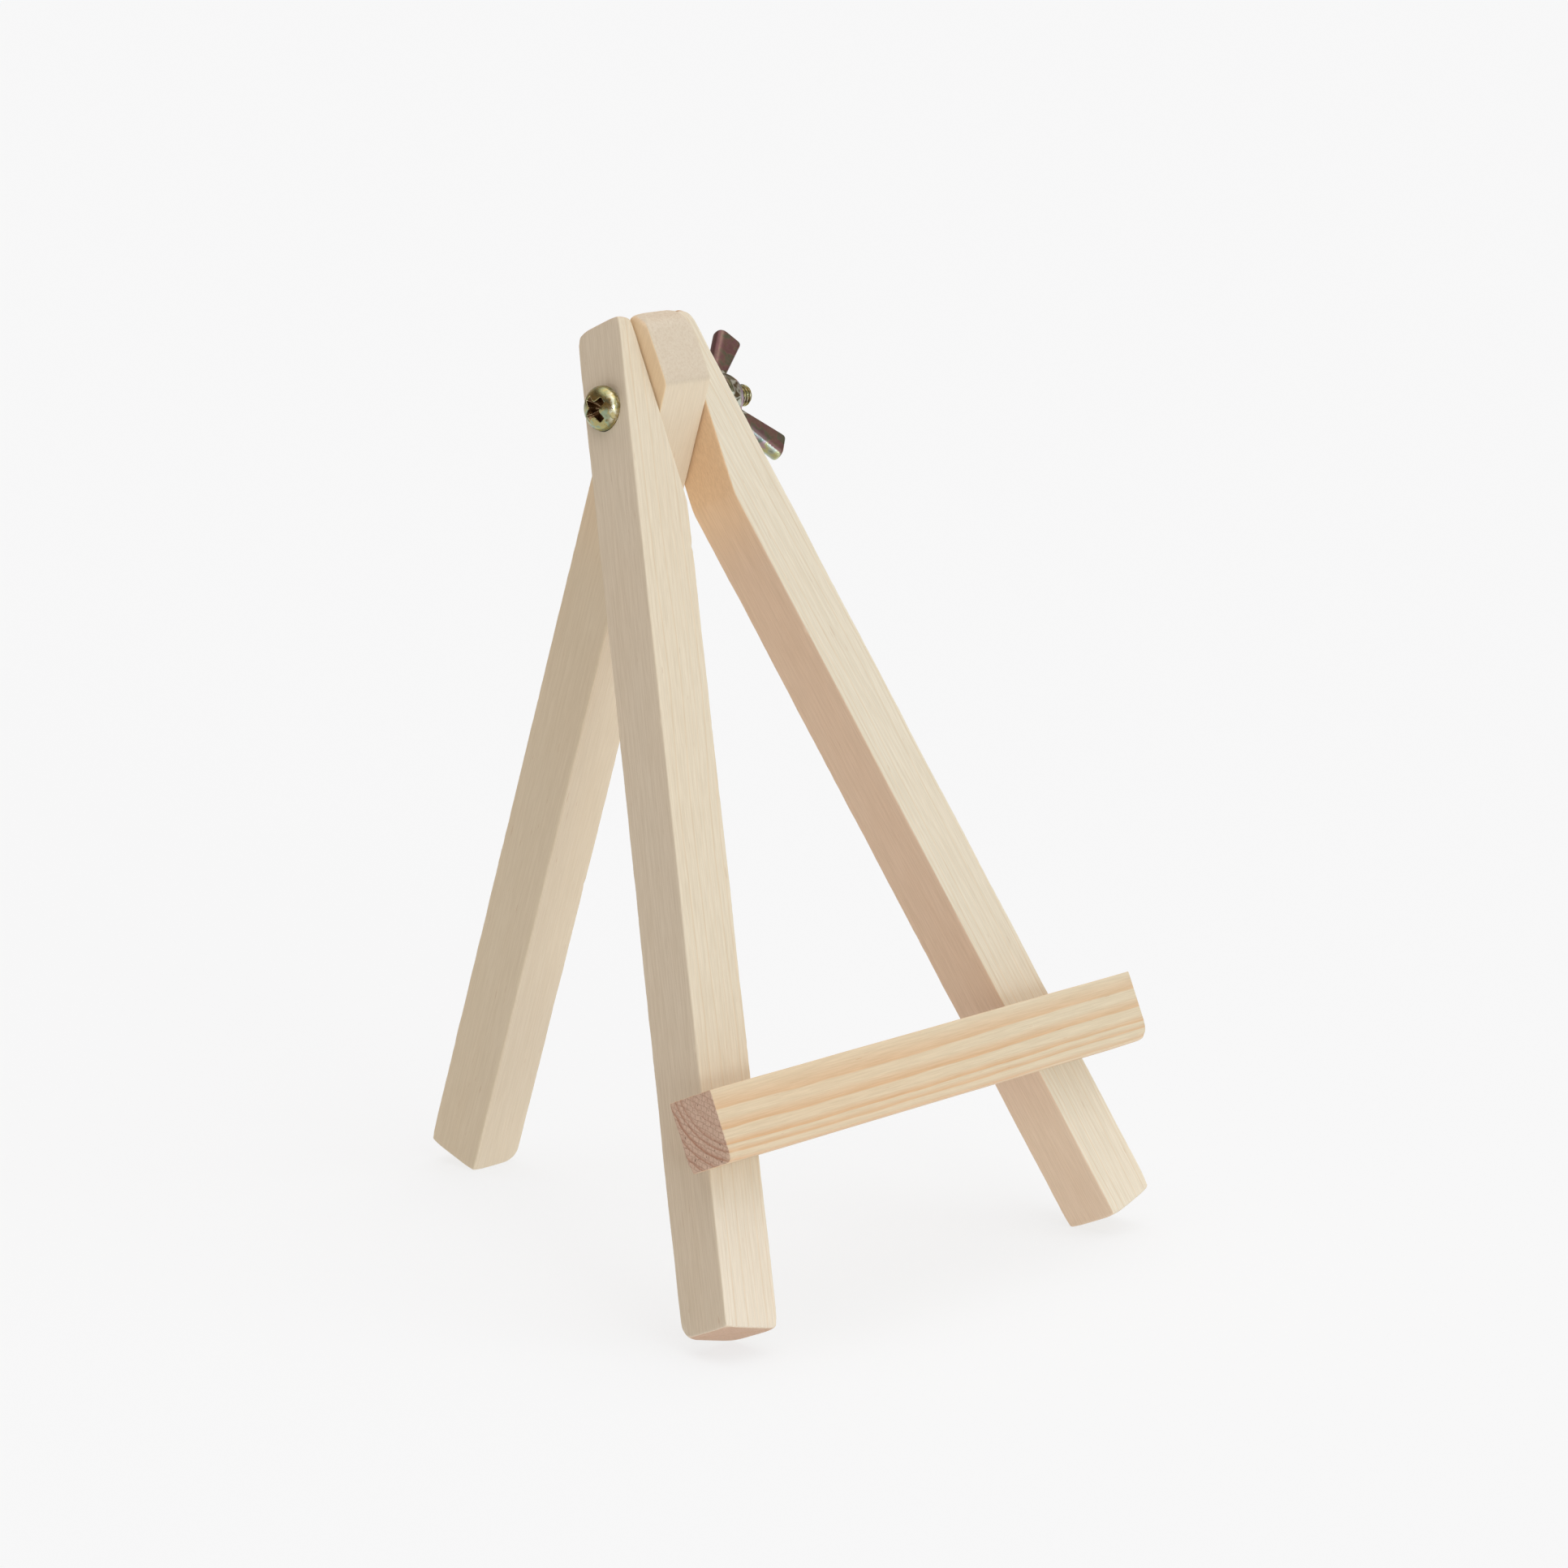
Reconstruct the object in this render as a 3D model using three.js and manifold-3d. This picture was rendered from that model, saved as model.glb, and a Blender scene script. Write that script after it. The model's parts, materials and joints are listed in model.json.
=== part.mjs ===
// A small tabletop display easel. Two splayed front legs are joined by a ledge, and a rear leg folds
// between them on one machine screw with a wing nut. Millimetres, +Z up. The front faces -Y and +X is
// to the right seen from the front. The origin is on the floor, under the middle of the outline.
import * as THREE from "three";
import * as BufferGeometryUtils from "three/addons/utils/BufferGeometryUtils.js";
import Module from "manifold-3d";

const wasm = await Module();
wasm.setup();

const rad = THREE.MathUtils.degToRad;

// Driving dimensions. Every leg is cut from the same planed stick.
const STOCK = 11.5;
const FRONT_THICK = 0.995 * STOCK;
const REAR_WIDTH = 0.956 * STOCK;
const REAR_DEPTH = 1.059 * STOCK;

const LEAN = rad(23.75);
const SPLAY = rad(14.92);
const REAR_TILT = rad(19.39);

const FOOT_HALF_GAP = 3.758 * STOCK;
const LEG_LENGTH = 15.49 * STOCK;
const FORK_HALF_GAP = 0.506 * STOCK;

const PIVOT_UP = 13.885 * STOCK;
const PIVOT_IN = 0.463 * STOCK;
const REAR_PIVOT_IN = 0.542 * STOCK;
const REAR_TOP = 1.34 * STOCK;
const REAR_BEVEL = 0.72 * STOCK;

const LEDGE_BOTTOM = 2.479 * STOCK;
const LEDGE_HEIGHT = 1.072 * STOCK;
const LEDGE_DEPTH = 0.903 * STOCK;
const LEDGE_LENGTH = 9.272 * STOCK;
const LEDGE_OFFSET = 0.125 * STOCK;

const FOOT_ROUND = 0.6;
const TOP_ROUND = 1.5;
const EDGE_ROUND = 0.4;
const GLUE_GAP = 0.1;
const CLEARANCE = 0.25;
// The screw's hole through the front legs is drilled slightly off square, falling to the right, and
// the rear leg's hole is wider by enough to turn on it.
const SCREW_TILT = rad(2.1);
const REAR_BORE_RADIUS = 2.45;
// A cutting shape stands this far outside a face that it leaves alone, and runs this far past a piece.
const HAIR = 0.02;
const CUT_REACH = 3 * STOCK;

// An M4 x 35 pan head screw, its washer and its wing nut.
const THREAD_RADIUS = 2;
const SHANK_LENGTH = 35;
const HEAD_RADIUS = 4;
const HEAD_HEIGHT = 3;
const HEAD_RIM = 0.5;
const RECESS_ARM = 2.4;
const RECESS_WIDTH = 1.1;
const RECESS_DEPTH = 1.5;
const WASHER_RADIUS = 4.5;
const WASHER_THICK = 0.8;
const WASHER_BEDDING = 0.3;
const TIP_CHAMFER = 0.5;
const HUB_BASE_RADIUS = 4.5;
const HUB_RIM_RADIUS = 4.2;
const HUB_HEIGHT = 3.8;
const HUB_CHAMFER = 0.5;
const WING_ANGLE = rad(36.4);
const WING_FLARE = rad(46);
// Where a wing's middle line leaves the hub, up from the bearing face and out from the axis, and how
// far the wing runs on into the hub behind that point.
const WING_ROOT = [2.65, 3.95];
const WING_SUNK = 1.5;
// How far the wing's far and near edges stand from its middle line, at its root and at its tip.
const WING_ROOT_EDGES = [0.9, 1.8];
const WING_TIP_EDGES = [2.4, 2.7];
const WING_LENGTH = 10.3;
const WING_SLANT = 0.6;
const WING_THICK = 3.1;
const WING_TIP_ROUND = 0.9;

const BRAD_RADIUS = 0.6;
const BRAD_LENGTH = 16;
const BRAD_HEAD_RADIUS = 1.1;
const BRAD_HEAD_THICK = 0.5;
const BRAD_SET = 0.2;

const ARC_STEPS = 5;
const ROUND_SIDES = 32;

const X = new THREE.Vector3(1, 0, 0);
const Y = new THREE.Vector3(0, 1, 0);
const Z = new THREE.Vector3(0, 0, 1);

const WOOD_ROUGHNESS = 0.62;
const PLATE_ROUGHNESS = 0.28;

function wood(color) {
  return new THREE.MeshStandardMaterial({ color, roughness: WOOD_ROUGHNESS, metalness: 0 });
}

function zinc(color) {
  return new THREE.MeshStandardMaterial({ color, roughness: PLATE_ROUGHNESS, metalness: 1 });
}

const palewood = wood(0xe2d2b6);
const pine = wood(0xe5cba3);
const yellowZinc = zinc(0xb5a56c);
const steelWire = zinc(0x9a9a98);

// A shape from corners given as [x, y, radius]; a corner with no radius stays sharp.
function roundedShape(corners) {
  const shape = new THREE.Shape();
  corners.forEach(([x, y, radius = 0], i) => {
    const corner = new THREE.Vector2(x, y);
    const before = new THREE.Vector2(...corners.at(i - 1)).sub(corner).setLength(radius);
    const after = new THREE.Vector2(...corners[(i + 1) % corners.length]).sub(corner).setLength(radius);
    const start = before.add(corner);
    const end = after.add(corner);
    if (i === 0) {
      shape.moveTo(start.x, start.y);
    } else {
      shape.lineTo(start.x, start.y);
    }
    if (radius > 0) {
      shape.quadraticCurveTo(corner.x, corner.y, end.x, end.y);
    }
  });
  return shape;
}

// A shape extruded along +Z by depth, with its long edges eased by round.
function extrude(shape, depth, round = 0) {
  const geometry = new THREE.ExtrudeGeometry(shape, {
    depth: depth - 2 * round,
    curveSegments: ARC_STEPS,
    bevelEnabled: round > 0,
    bevelSize: round,
    bevelOffset: -round,
    bevelThickness: round,
    bevelSegments: 2,
  });
  return geometry.translate(0, 0, round);
}

// Turns a geometry so that its X, Y and Z lie along the three given axes.
function aim(geometry, alongX, alongY, alongZ) {
  return geometry.applyMatrix4(new THREE.Matrix4().makeBasis(alongX, alongY, alongZ));
}

function solidOf(geometry) {
  const bare = geometry.clone();
  bare.deleteAttribute("normal");
  bare.deleteAttribute("uv");
  const merged = BufferGeometryUtils.mergeVertices(bare);
  const corners = [];
  for (let i = 0; i < merged.index.count; i += 3) {
    const [a, b, c] = merged.index.array.slice(i, i + 3);
    if (a !== b && b !== c && c !== a) {
      corners.push(a, b, c);
    }
  }
  const vertProperties = merged.attributes.position.array;
  const triVerts = new Uint32Array(corners);
  return new wasm.Manifold(new wasm.Mesh({ numProp: 3, vertProperties, triVerts }));
}

function geometryOf(solid) {
  const mesh = solid.getMesh();
  const geometry = new THREE.BufferGeometry();
  geometry.setAttribute("position", new THREE.BufferAttribute(mesh.vertProperties, 3));
  geometry.setIndex(new THREE.BufferAttribute(mesh.triVerts, 1));
  geometry.computeVertexNormals();
  return geometry;
}

function part(name, solid, material) {
  const mesh = new THREE.Mesh(geometryOf(solid), material);
  mesh.name = name;
  return mesh;
}

// A round bar along +X from start to end.
function barAlongX(radius, start, end) {
  const bar = new THREE.CylinderGeometry(radius, radius, end - start, ROUND_SIDES);
  return solidOf(bar.rotateZ(-Math.PI / 2).translate((start + end) / 2, 0, 0));
}

// A solid turned about the X axis from a profile of [along, radius] points that ends on the axis.
function turned(profile) {
  const points = profile.map(([along, radius]) => new THREE.Vector2(radius, along));
  return solidOf(new THREE.LatheGeometry(points, ROUND_SIDES).rotateZ(-Math.PI / 2));
}

// Where the outer face of a front leg crosses the screw's axis, measured from the middle.
const outerFaceAtPivot =
  FOOT_HALF_GAP + STOCK / Math.cos(SPLAY) - PIVOT_UP * Math.tan(SPLAY);
const headSeat = -outerFaceAtPivot;
const washerSeat = outerFaceAtPivot + WASHER_RADIUS * Math.tan(SPLAY) - WASHER_BEDDING;

// The front frame's own space has X across, Y from the front faces (-FRONT_THICK) to the back (0),
// and Z up the frame. The pieces below are made in it. Side is -1 for the left leg and 1 for the right.
function legOutline(side) {
  const up = [Math.sin(SPLAY), Math.cos(SPLAY)];
  const across = [-Math.cos(SPLAY), Math.sin(SPLAY)];
  const at = (along, out) => [
    -side * (along * up[0] + out * across[0] - FOOT_HALF_GAP),
    along * up[1] + out * across[1],
  ];
  const kink = (FOOT_HALF_GAP - FORK_HALF_GAP) / up[0];
  const [outerTopX, outerTopZ] = at(LEG_LENGTH, STOCK);
  const innerTopZ = outerTopZ - (Math.abs(outerTopX) - FORK_HALF_GAP) * Math.tan(SPLAY);
  return roundedShape([
    [...at(0, 0), FOOT_ROUND],
    [...at(0, STOCK), FOOT_ROUND],
    [outerTopX, outerTopZ, TOP_ROUND],
    [side * FORK_HALF_GAP, innerTopZ, TOP_ROUND / 2],
    at(kink, 0),
  ]);
}

// The leg's side view, extruded wide: it rounds the ends from front to back.
function legSideView(side) {
  const shape = roundedShape([
    [HAIR, -HAIR, FOOT_ROUND],
    [-FRONT_THICK - HAIR, -HAIR, FOOT_ROUND],
    [-FRONT_THICK - HAIR, LEG_LENGTH + HAIR, TOP_ROUND],
    [HAIR, LEG_LENGTH + HAIR, TOP_ROUND],
  ]);
  const slab = extrude(shape, 2 * CUT_REACH).translate(0, 0, -CUT_REACH);
  return solidOf(aim(slab, Y, Z, X).rotateY(-side * SPLAY).translate(side * FOOT_HALF_GAP, 0, 0));
}

// The hole for the screw with the flat seat sunk for its head or its washer.
function screwHole(side, seat, seatRadius) {
  const [start, end] = side < 0 ? [-CUT_REACH, seat + CLEARANCE] : [seat - CLEARANCE, CUT_REACH];
  const shank = barAlongX(THREAD_RADIUS + CLEARANCE, -CUT_REACH, CUT_REACH);
  const square = shank.add(barAlongX(seatRadius + CLEARANCE, start, end));
  const tilted = square.rotate([0, THREE.MathUtils.radToDeg(SCREW_TILT), 0]);
  return tilted.rotate([THREE.MathUtils.radToDeg(LEAN), 0, 0]).translate([0, -PIVOT_IN, PIVOT_UP]);
}

function frontLeg(name, side, seat, seatRadius) {
  const outline = solidOf(extrude(legOutline(side), FRONT_THICK, EDGE_ROUND).rotateX(Math.PI / 2));
  const blank = outline.intersect(legSideView(side));
  const bored = blank.subtract(screwHole(side, seat, seatRadius));
  return part(name, bored.subtract(bradBody(side, CLEARANCE)), palewood);
}

function ledgeBar() {
  const shape = roundedShape([
    [-FRONT_THICK - GLUE_GAP, LEDGE_BOTTOM, EDGE_ROUND],
    [-FRONT_THICK - GLUE_GAP - LEDGE_DEPTH, LEDGE_BOTTOM, EDGE_ROUND],
    [-FRONT_THICK - GLUE_GAP - LEDGE_DEPTH, LEDGE_BOTTOM + LEDGE_HEIGHT, EDGE_ROUND],
    [-FRONT_THICK - GLUE_GAP, LEDGE_BOTTOM + LEDGE_HEIGHT, EDGE_ROUND],
  ]);
  const bar = extrude(shape, LEDGE_LENGTH).translate(0, 0, LEDGE_OFFSET - LEDGE_LENGTH / 2);
  const drilled = [-1, 1].reduce(
    (body, side) => body.subtract(bradBody(side, CLEARANCE)),
    solidOf(aim(bar, Y, Z, X)),
  );
  return part("ledge_bar", drilled, pine);
}

// A brad driven from the back of a leg into the ledge, on the leg's centre line, with its head set
// just below the surface. With grow it is the open hole that the brad sits in, larger all round.
function bradBody(side, grow = 0) {
  const top = grow > 0 ? grow : -BRAD_SET;
  const profile = [
    [-BRAD_LENGTH - grow, 0],
    [-BRAD_LENGTH + BRAD_RADIUS - grow, BRAD_RADIUS + grow],
    [-BRAD_SET - BRAD_HEAD_THICK - grow, BRAD_RADIUS + grow],
    [-BRAD_SET - BRAD_HEAD_THICK - grow, BRAD_HEAD_RADIUS + grow],
    [top, BRAD_HEAD_RADIUS + grow],
    [top, 0],
  ].map(([along, radius]) => new THREE.Vector2(radius, along));
  const up = LEDGE_BOTTOM + LEDGE_HEIGHT / 2;
  const across = FOOT_HALF_GAP + STOCK / 2 / Math.cos(SPLAY) - up * Math.tan(SPLAY);
  const turnedBrad = new THREE.LatheGeometry(profile, ROUND_SIDES / 2);
  return solidOf(turnedBrad.translate(side * across, 0, up));
}

// The rear leg's own space has its origin on the pivot, Y to its back face and Z up the leg.
function rearLeg(below) {
  const front = -REAR_PIVOT_IN;
  const back = front + REAR_DEPTH;
  const half = REAR_WIDTH / 2;
  const edge = half + HAIR;
  const sideView = roundedShape([
    [front, -below, FOOT_ROUND],
    [back, -below, FOOT_ROUND],
    [back, REAR_TOP, TOP_ROUND],
    [front + REAR_BEVEL, REAR_TOP, TOP_ROUND],
    [front, REAR_TOP - REAR_BEVEL, EDGE_ROUND],
  ]);
  const frontView = roundedShape([
    [-edge, -below - HAIR, FOOT_ROUND],
    [edge, -below - HAIR, FOOT_ROUND],
    [edge, REAR_TOP + HAIR, TOP_ROUND],
    [-edge, REAR_TOP + HAIR, TOP_ROUND],
  ]);
  const fromSide = aim(extrude(sideView, REAR_WIDTH, EDGE_ROUND), Y, Z, X).translate(-half, 0, 0);
  const fromFront = extrude(frontView, 2 * CUT_REACH).rotateX(Math.PI / 2).translate(0, CUT_REACH, 0);
  const blank = solidOf(fromSide).intersect(solidOf(fromFront));
  return part("rear_leg", blank.subtract(barAlongX(REAR_BORE_RADIUS, -STOCK, STOCK)), palewood);
}

// How far the rear leg reaches below the pivot for its rounded front edge to touch the floor.
function rearReach(pivotHeight) {
  const drop = pivotHeight - FOOT_ROUND + (FOOT_ROUND - REAR_PIVOT_IN) * Math.sin(REAR_TILT);
  return FOOT_ROUND + drop / Math.cos(REAR_TILT);
}

function crossRecess() {
  const arm = (turn) => {
    const slot = new THREE.BoxGeometry(2 * RECESS_DEPTH, RECESS_WIDTH, 2 * RECESS_ARM);
    return solidOf(slot.rotateX(turn).translate(headSeat - HEAD_HEIGHT, 0, 0));
  };
  return arm(Math.PI / 4).add(arm(-Math.PI / 4));
}

function pivotScrew() {
  const domeSteps = 6;
  const dome = Array.from({ length: domeSteps + 1 }, (_, i) => {
    const turn = (i / domeSteps) * (Math.PI / 2);
    const rise = (HEAD_HEIGHT - HEAD_RIM) * Math.sin(turn);
    return [headSeat - HEAD_RIM - rise, i < domeSteps ? HEAD_RADIUS * Math.cos(turn) : 0];
  });
  const tip = headSeat + SHANK_LENGTH;
  const screw = turned([
    ...dome.reverse(),
    [headSeat, HEAD_RADIUS],
    [headSeat, THREAD_RADIUS],
    [tip - TIP_CHAMFER, THREAD_RADIUS],
    [tip, THREAD_RADIUS - TIP_CHAMFER],
    [tip, 0],
  ]);
  return part("pivot_screw", screw.subtract(crossRecess()), yellowZinc);
}

function flatWasher() {
  const ring = barAlongX(WASHER_RADIUS, washerSeat, washerSeat + WASHER_THICK);
  const hole = barAlongX(THREAD_RADIUS + CLEARANCE, 0, 2 * washerSeat);
  return part("flat_washer", ring.subtract(hole), yellowZinc);
}

// A wing's tip is cut at a slant, so that its near edge is the longer one.
function wing(side) {
  const [rootFar, rootNear] = WING_ROOT_EDGES;
  const [tipFar, tipNear] = WING_TIP_EDGES;
  const shape = roundedShape([
    [-WING_SUNK, -rootFar],
    [WING_LENGTH, -tipFar, WING_TIP_ROUND],
    [WING_LENGTH + WING_SLANT, tipNear, WING_TIP_ROUND],
    [-WING_SUNK, rootNear],
  ]);
  const blade = extrude(shape, WING_THICK, EDGE_ROUND).translate(0, 0, -WING_THICK / 2);
  const [rootUp, rootOut] = WING_ROOT;
  const flared = aim(blade, X, Z, Y.clone().negate()).rotateY(-WING_FLARE);
  flared.translate(rootUp, 0, rootOut);
  return solidOf(side > 0 ? flared : flared.rotateX(Math.PI));
}

// The nut's own space starts on the face that bears on the washer.
function wingNut() {
  const hub = turned([
    [0, 0],
    [0, HUB_BASE_RADIUS],
    [HUB_HEIGHT - HUB_CHAMFER, HUB_RIM_RADIUS],
    [HUB_HEIGHT, HUB_RIM_RADIUS - HUB_CHAMFER],
    [HUB_HEIGHT, 0],
  ]);
  const bore = barAlongX(THREAD_RADIUS + CLEARANCE, -CUT_REACH, CUT_REACH);
  const winged = hub.add(wing(1)).add(wing(-1));
  const nut = part("wing_nut", winged.subtract(bore), yellowZinc);
  nut.position.x = washerSeat + WASHER_THICK + CLEARANCE;
  nut.rotation.x = -WING_ANGLE;
  return nut;
}

const frontFrame = new THREE.Group();
frontFrame.rotation.x = -LEAN;
frontFrame.add(
  frontLeg("left_front_leg", -1, headSeat, HEAD_RADIUS),
  frontLeg("right_front_leg", 1, washerSeat, WASHER_RADIUS),
  ledgeBar(),
  part("left_brad", bradBody(-1), steelWire),
  part("right_brad", bradBody(1), steelWire),
);
frontFrame.updateMatrixWorld();
frontFrame.position.z = -new THREE.Box3().setFromObject(frontFrame, true).min.z;
frontFrame.updateMatrixWorld();

const hardware = new THREE.Group();
hardware.rotation.y = SCREW_TILT;
hardware.add(pivotScrew(), flatWasher(), wingNut());

const hinge = new THREE.Group();
hinge.position.copy(frontFrame.localToWorld(new THREE.Vector3(0, -PIVOT_IN, PIVOT_UP)));
const rear = rearLeg(rearReach(hinge.position.z));
rear.rotation.x = REAR_TILT;
hinge.add(hardware, rear);

const easel = new THREE.Group();
easel.add(frontFrame, hinge);
easel.updateMatrixWorld();
const outline = new THREE.Box3().setFromObject(easel, true);
const middle = outline.getCenter(new THREE.Vector3());
easel.position.set(-middle.x, -middle.y, -outline.min.z);

export default easel;
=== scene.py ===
"""A small wooden tabletop easel: the pieces that are seen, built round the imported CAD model."""
import json
import math

import bmesh
import bpy
from mathutils import Matrix, Vector, noise


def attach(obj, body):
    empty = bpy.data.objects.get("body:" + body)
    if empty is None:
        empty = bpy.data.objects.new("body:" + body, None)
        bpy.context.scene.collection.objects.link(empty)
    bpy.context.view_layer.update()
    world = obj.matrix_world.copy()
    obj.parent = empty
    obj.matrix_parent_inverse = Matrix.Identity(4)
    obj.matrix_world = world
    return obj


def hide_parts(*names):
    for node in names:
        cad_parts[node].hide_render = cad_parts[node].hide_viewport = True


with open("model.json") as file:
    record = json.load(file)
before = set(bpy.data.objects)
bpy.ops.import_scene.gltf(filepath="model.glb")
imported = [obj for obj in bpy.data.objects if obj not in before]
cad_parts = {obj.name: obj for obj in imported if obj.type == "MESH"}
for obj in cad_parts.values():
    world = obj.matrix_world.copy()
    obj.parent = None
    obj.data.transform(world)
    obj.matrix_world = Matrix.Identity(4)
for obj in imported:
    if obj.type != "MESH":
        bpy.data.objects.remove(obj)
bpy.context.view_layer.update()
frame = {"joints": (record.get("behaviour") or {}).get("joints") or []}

MM = 0.001

# Driving sizes, in millimetres and radians, as in the CAD model.
STOCK = 11.5
FRONT_THICK = 0.995 * STOCK
REAR_WIDTH = 0.956 * STOCK
REAR_DEPTH = 1.059 * STOCK
LEAN = math.radians(23.75)
SPLAY = math.radians(14.92)
REAR_TILT = math.radians(19.39)
FOOT_HALF_GAP = 3.758 * STOCK
LEG_LENGTH = 15.49 * STOCK
FORK_HALF_GAP = 0.506 * STOCK
PIVOT_UP = 13.885 * STOCK
PIVOT_IN = 0.463 * STOCK
REAR_PIVOT_IN = 0.542 * STOCK
REAR_TOP = 1.34 * STOCK
REAR_BEVEL = 0.72 * STOCK
LEDGE_BOTTOM = 2.479 * STOCK
LEDGE_HEIGHT = 1.072 * STOCK
LEDGE_DEPTH = 0.903 * STOCK
LEDGE_LENGTH = 9.272 * STOCK
LEDGE_OFFSET = 0.125 * STOCK
FOOT_ROUND = 0.6
SCREW_TILT = math.radians(2.1)
BORE_RADIUS = 2.25
REAR_BORE_RADIUS = 2.45

THREAD_RADIUS = 2.0
PITCH = 0.7
THREAD_DEPTH = 0.4
SHANK_LENGTH = 35.0
HEAD_RADIUS = 4.0
HEAD_HEIGHT = 3.0
HEAD_RIM = 0.5
WASHER_RADIUS = 4.5
WASHER_THICK = 0.8
WASHER_BEDDING = 0.3
HUB_BASE_RADIUS = 4.5
HUB_RIM_RADIUS = 4.2
HUB_HEIGHT = 3.8
WING_ANGLE = math.radians(36.4)
WING_FLARE = math.radians(46)
WING_ROOT = (2.65, 3.95)
WING_SUNK = 1.5
WING_ROOT_EDGES = (0.9, 1.8)
WING_TIP_EDGES = (2.4, 2.7)
WING_LENGTH = 10.3
WING_SLANT = 0.6
WING_THICK = 3.1
BRAD_HEAD_RADIUS = 1.1
BRAD_HEAD_THICK = 0.5
BRAD_SET = 0.2
NUT_GAP = 0.25

# Small sizes of the visual pieces only, in millimetres. The rounds are those of a stick's two ends.
FRONT_LEG_ROUNDS = (0.45, 0.6)
REAR_LEG_ROUNDS = (FOOT_ROUND, 1.2)
LEDGE_ROUNDS = (0.2, 0.2)
SEAT_ROOM = 0.04
DIMPLE_ROOM = 0.08
FLOOR_DROP = 0.02

PIVOT = Vector(next(j for j in frame["joints"] if j["name"] == "rear_leg_fold")["pos_m"]) / MM
OUTER_FACE_AT_PIVOT = FOOT_HALF_GAP + STOCK / math.cos(SPLAY) - PIVOT_UP * math.tan(SPLAY)
HEAD_SEAT = -OUTER_FACE_AT_PIVOT
WASHER_SEAT = OUTER_FACE_AT_PIVOT + WASHER_RADIUS * math.tan(SPLAY) - WASHER_BEDDING

# Spaces, as matrices from a piece's own millimetres to the row frame's millimetres.
FRONT_SPACE = (
    Matrix.Translation(PIVOT)
    @ Matrix.Rotation(-LEAN, 4, "X")
    @ Matrix.Translation((0, PIVOT_IN, -PIVOT_UP))
)
REAR_SPACE = Matrix.Translation(PIVOT) @ Matrix.Rotation(REAR_TILT, 4, "X")
# Along an axle through the pivot: x is to the back, y is up and z is to the right.
ALONG_X = Matrix(((0, 0, 1, 0), (1, 0, 0, 0), (0, 1, 0, 0), (0, 0, 0, 1)))
AXLE_SPACE = Matrix.Translation(PIVOT) @ ALONG_X
# The screw itself falls slightly to the right.
SCREW_SPACE = Matrix.Translation(PIVOT) @ Matrix.Rotation(SCREW_TILT, 4, "Y") @ ALONG_X
# Along the ledge, from its left end: x is up the frame, y to the front and z to the right.
LEDGE_SPACE = (
    FRONT_SPACE
    @ Matrix.Translation((LEDGE_OFFSET - LEDGE_LENGTH / 2, -FRONT_THICK, LEDGE_BOTTOM))
    @ Matrix(((0, 0, 1, 0), (0, -1, 0, 0), (1, 0, 0, 0), (0, 0, 0, 1)))
)


# ---------------------------------------------------------------- camera, light and floor

def make_camera():
    """A long lens, low and to the left of the front, turned slightly about its own axis."""
    aim = Vector((-1.597, -25.282, 84.594)) * MM
    azimuth, elevation, roll = math.radians(46.125), math.radians(12.185), math.radians(-0.38)
    distance = 0.88164
    look = Vector((
        math.sin(azimuth) * math.cos(elevation),
        math.cos(azimuth) * math.cos(elevation),
        -math.sin(elevation),
    ))
    right = Vector((math.cos(azimuth), -math.sin(azimuth), 0))
    up = right.cross(look)
    turned_right = math.cos(roll) * right + math.sin(roll) * up
    turned_up = -math.sin(roll) * right + math.cos(roll) * up
    camera = bpy.data.objects.new("camera", bpy.data.cameras.new("camera"))
    camera.data.sensor_width = 36
    camera.data.lens = 116.65
    camera.data.clip_end = 100
    turn = Matrix((turned_right, turned_up, -look)).transposed().to_4x4()
    camera.matrix_world = Matrix.Translation(aim - distance * look) @ turn
    bpy.context.collection.objects.link(camera)
    bpy.context.scene.camera = camera


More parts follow.
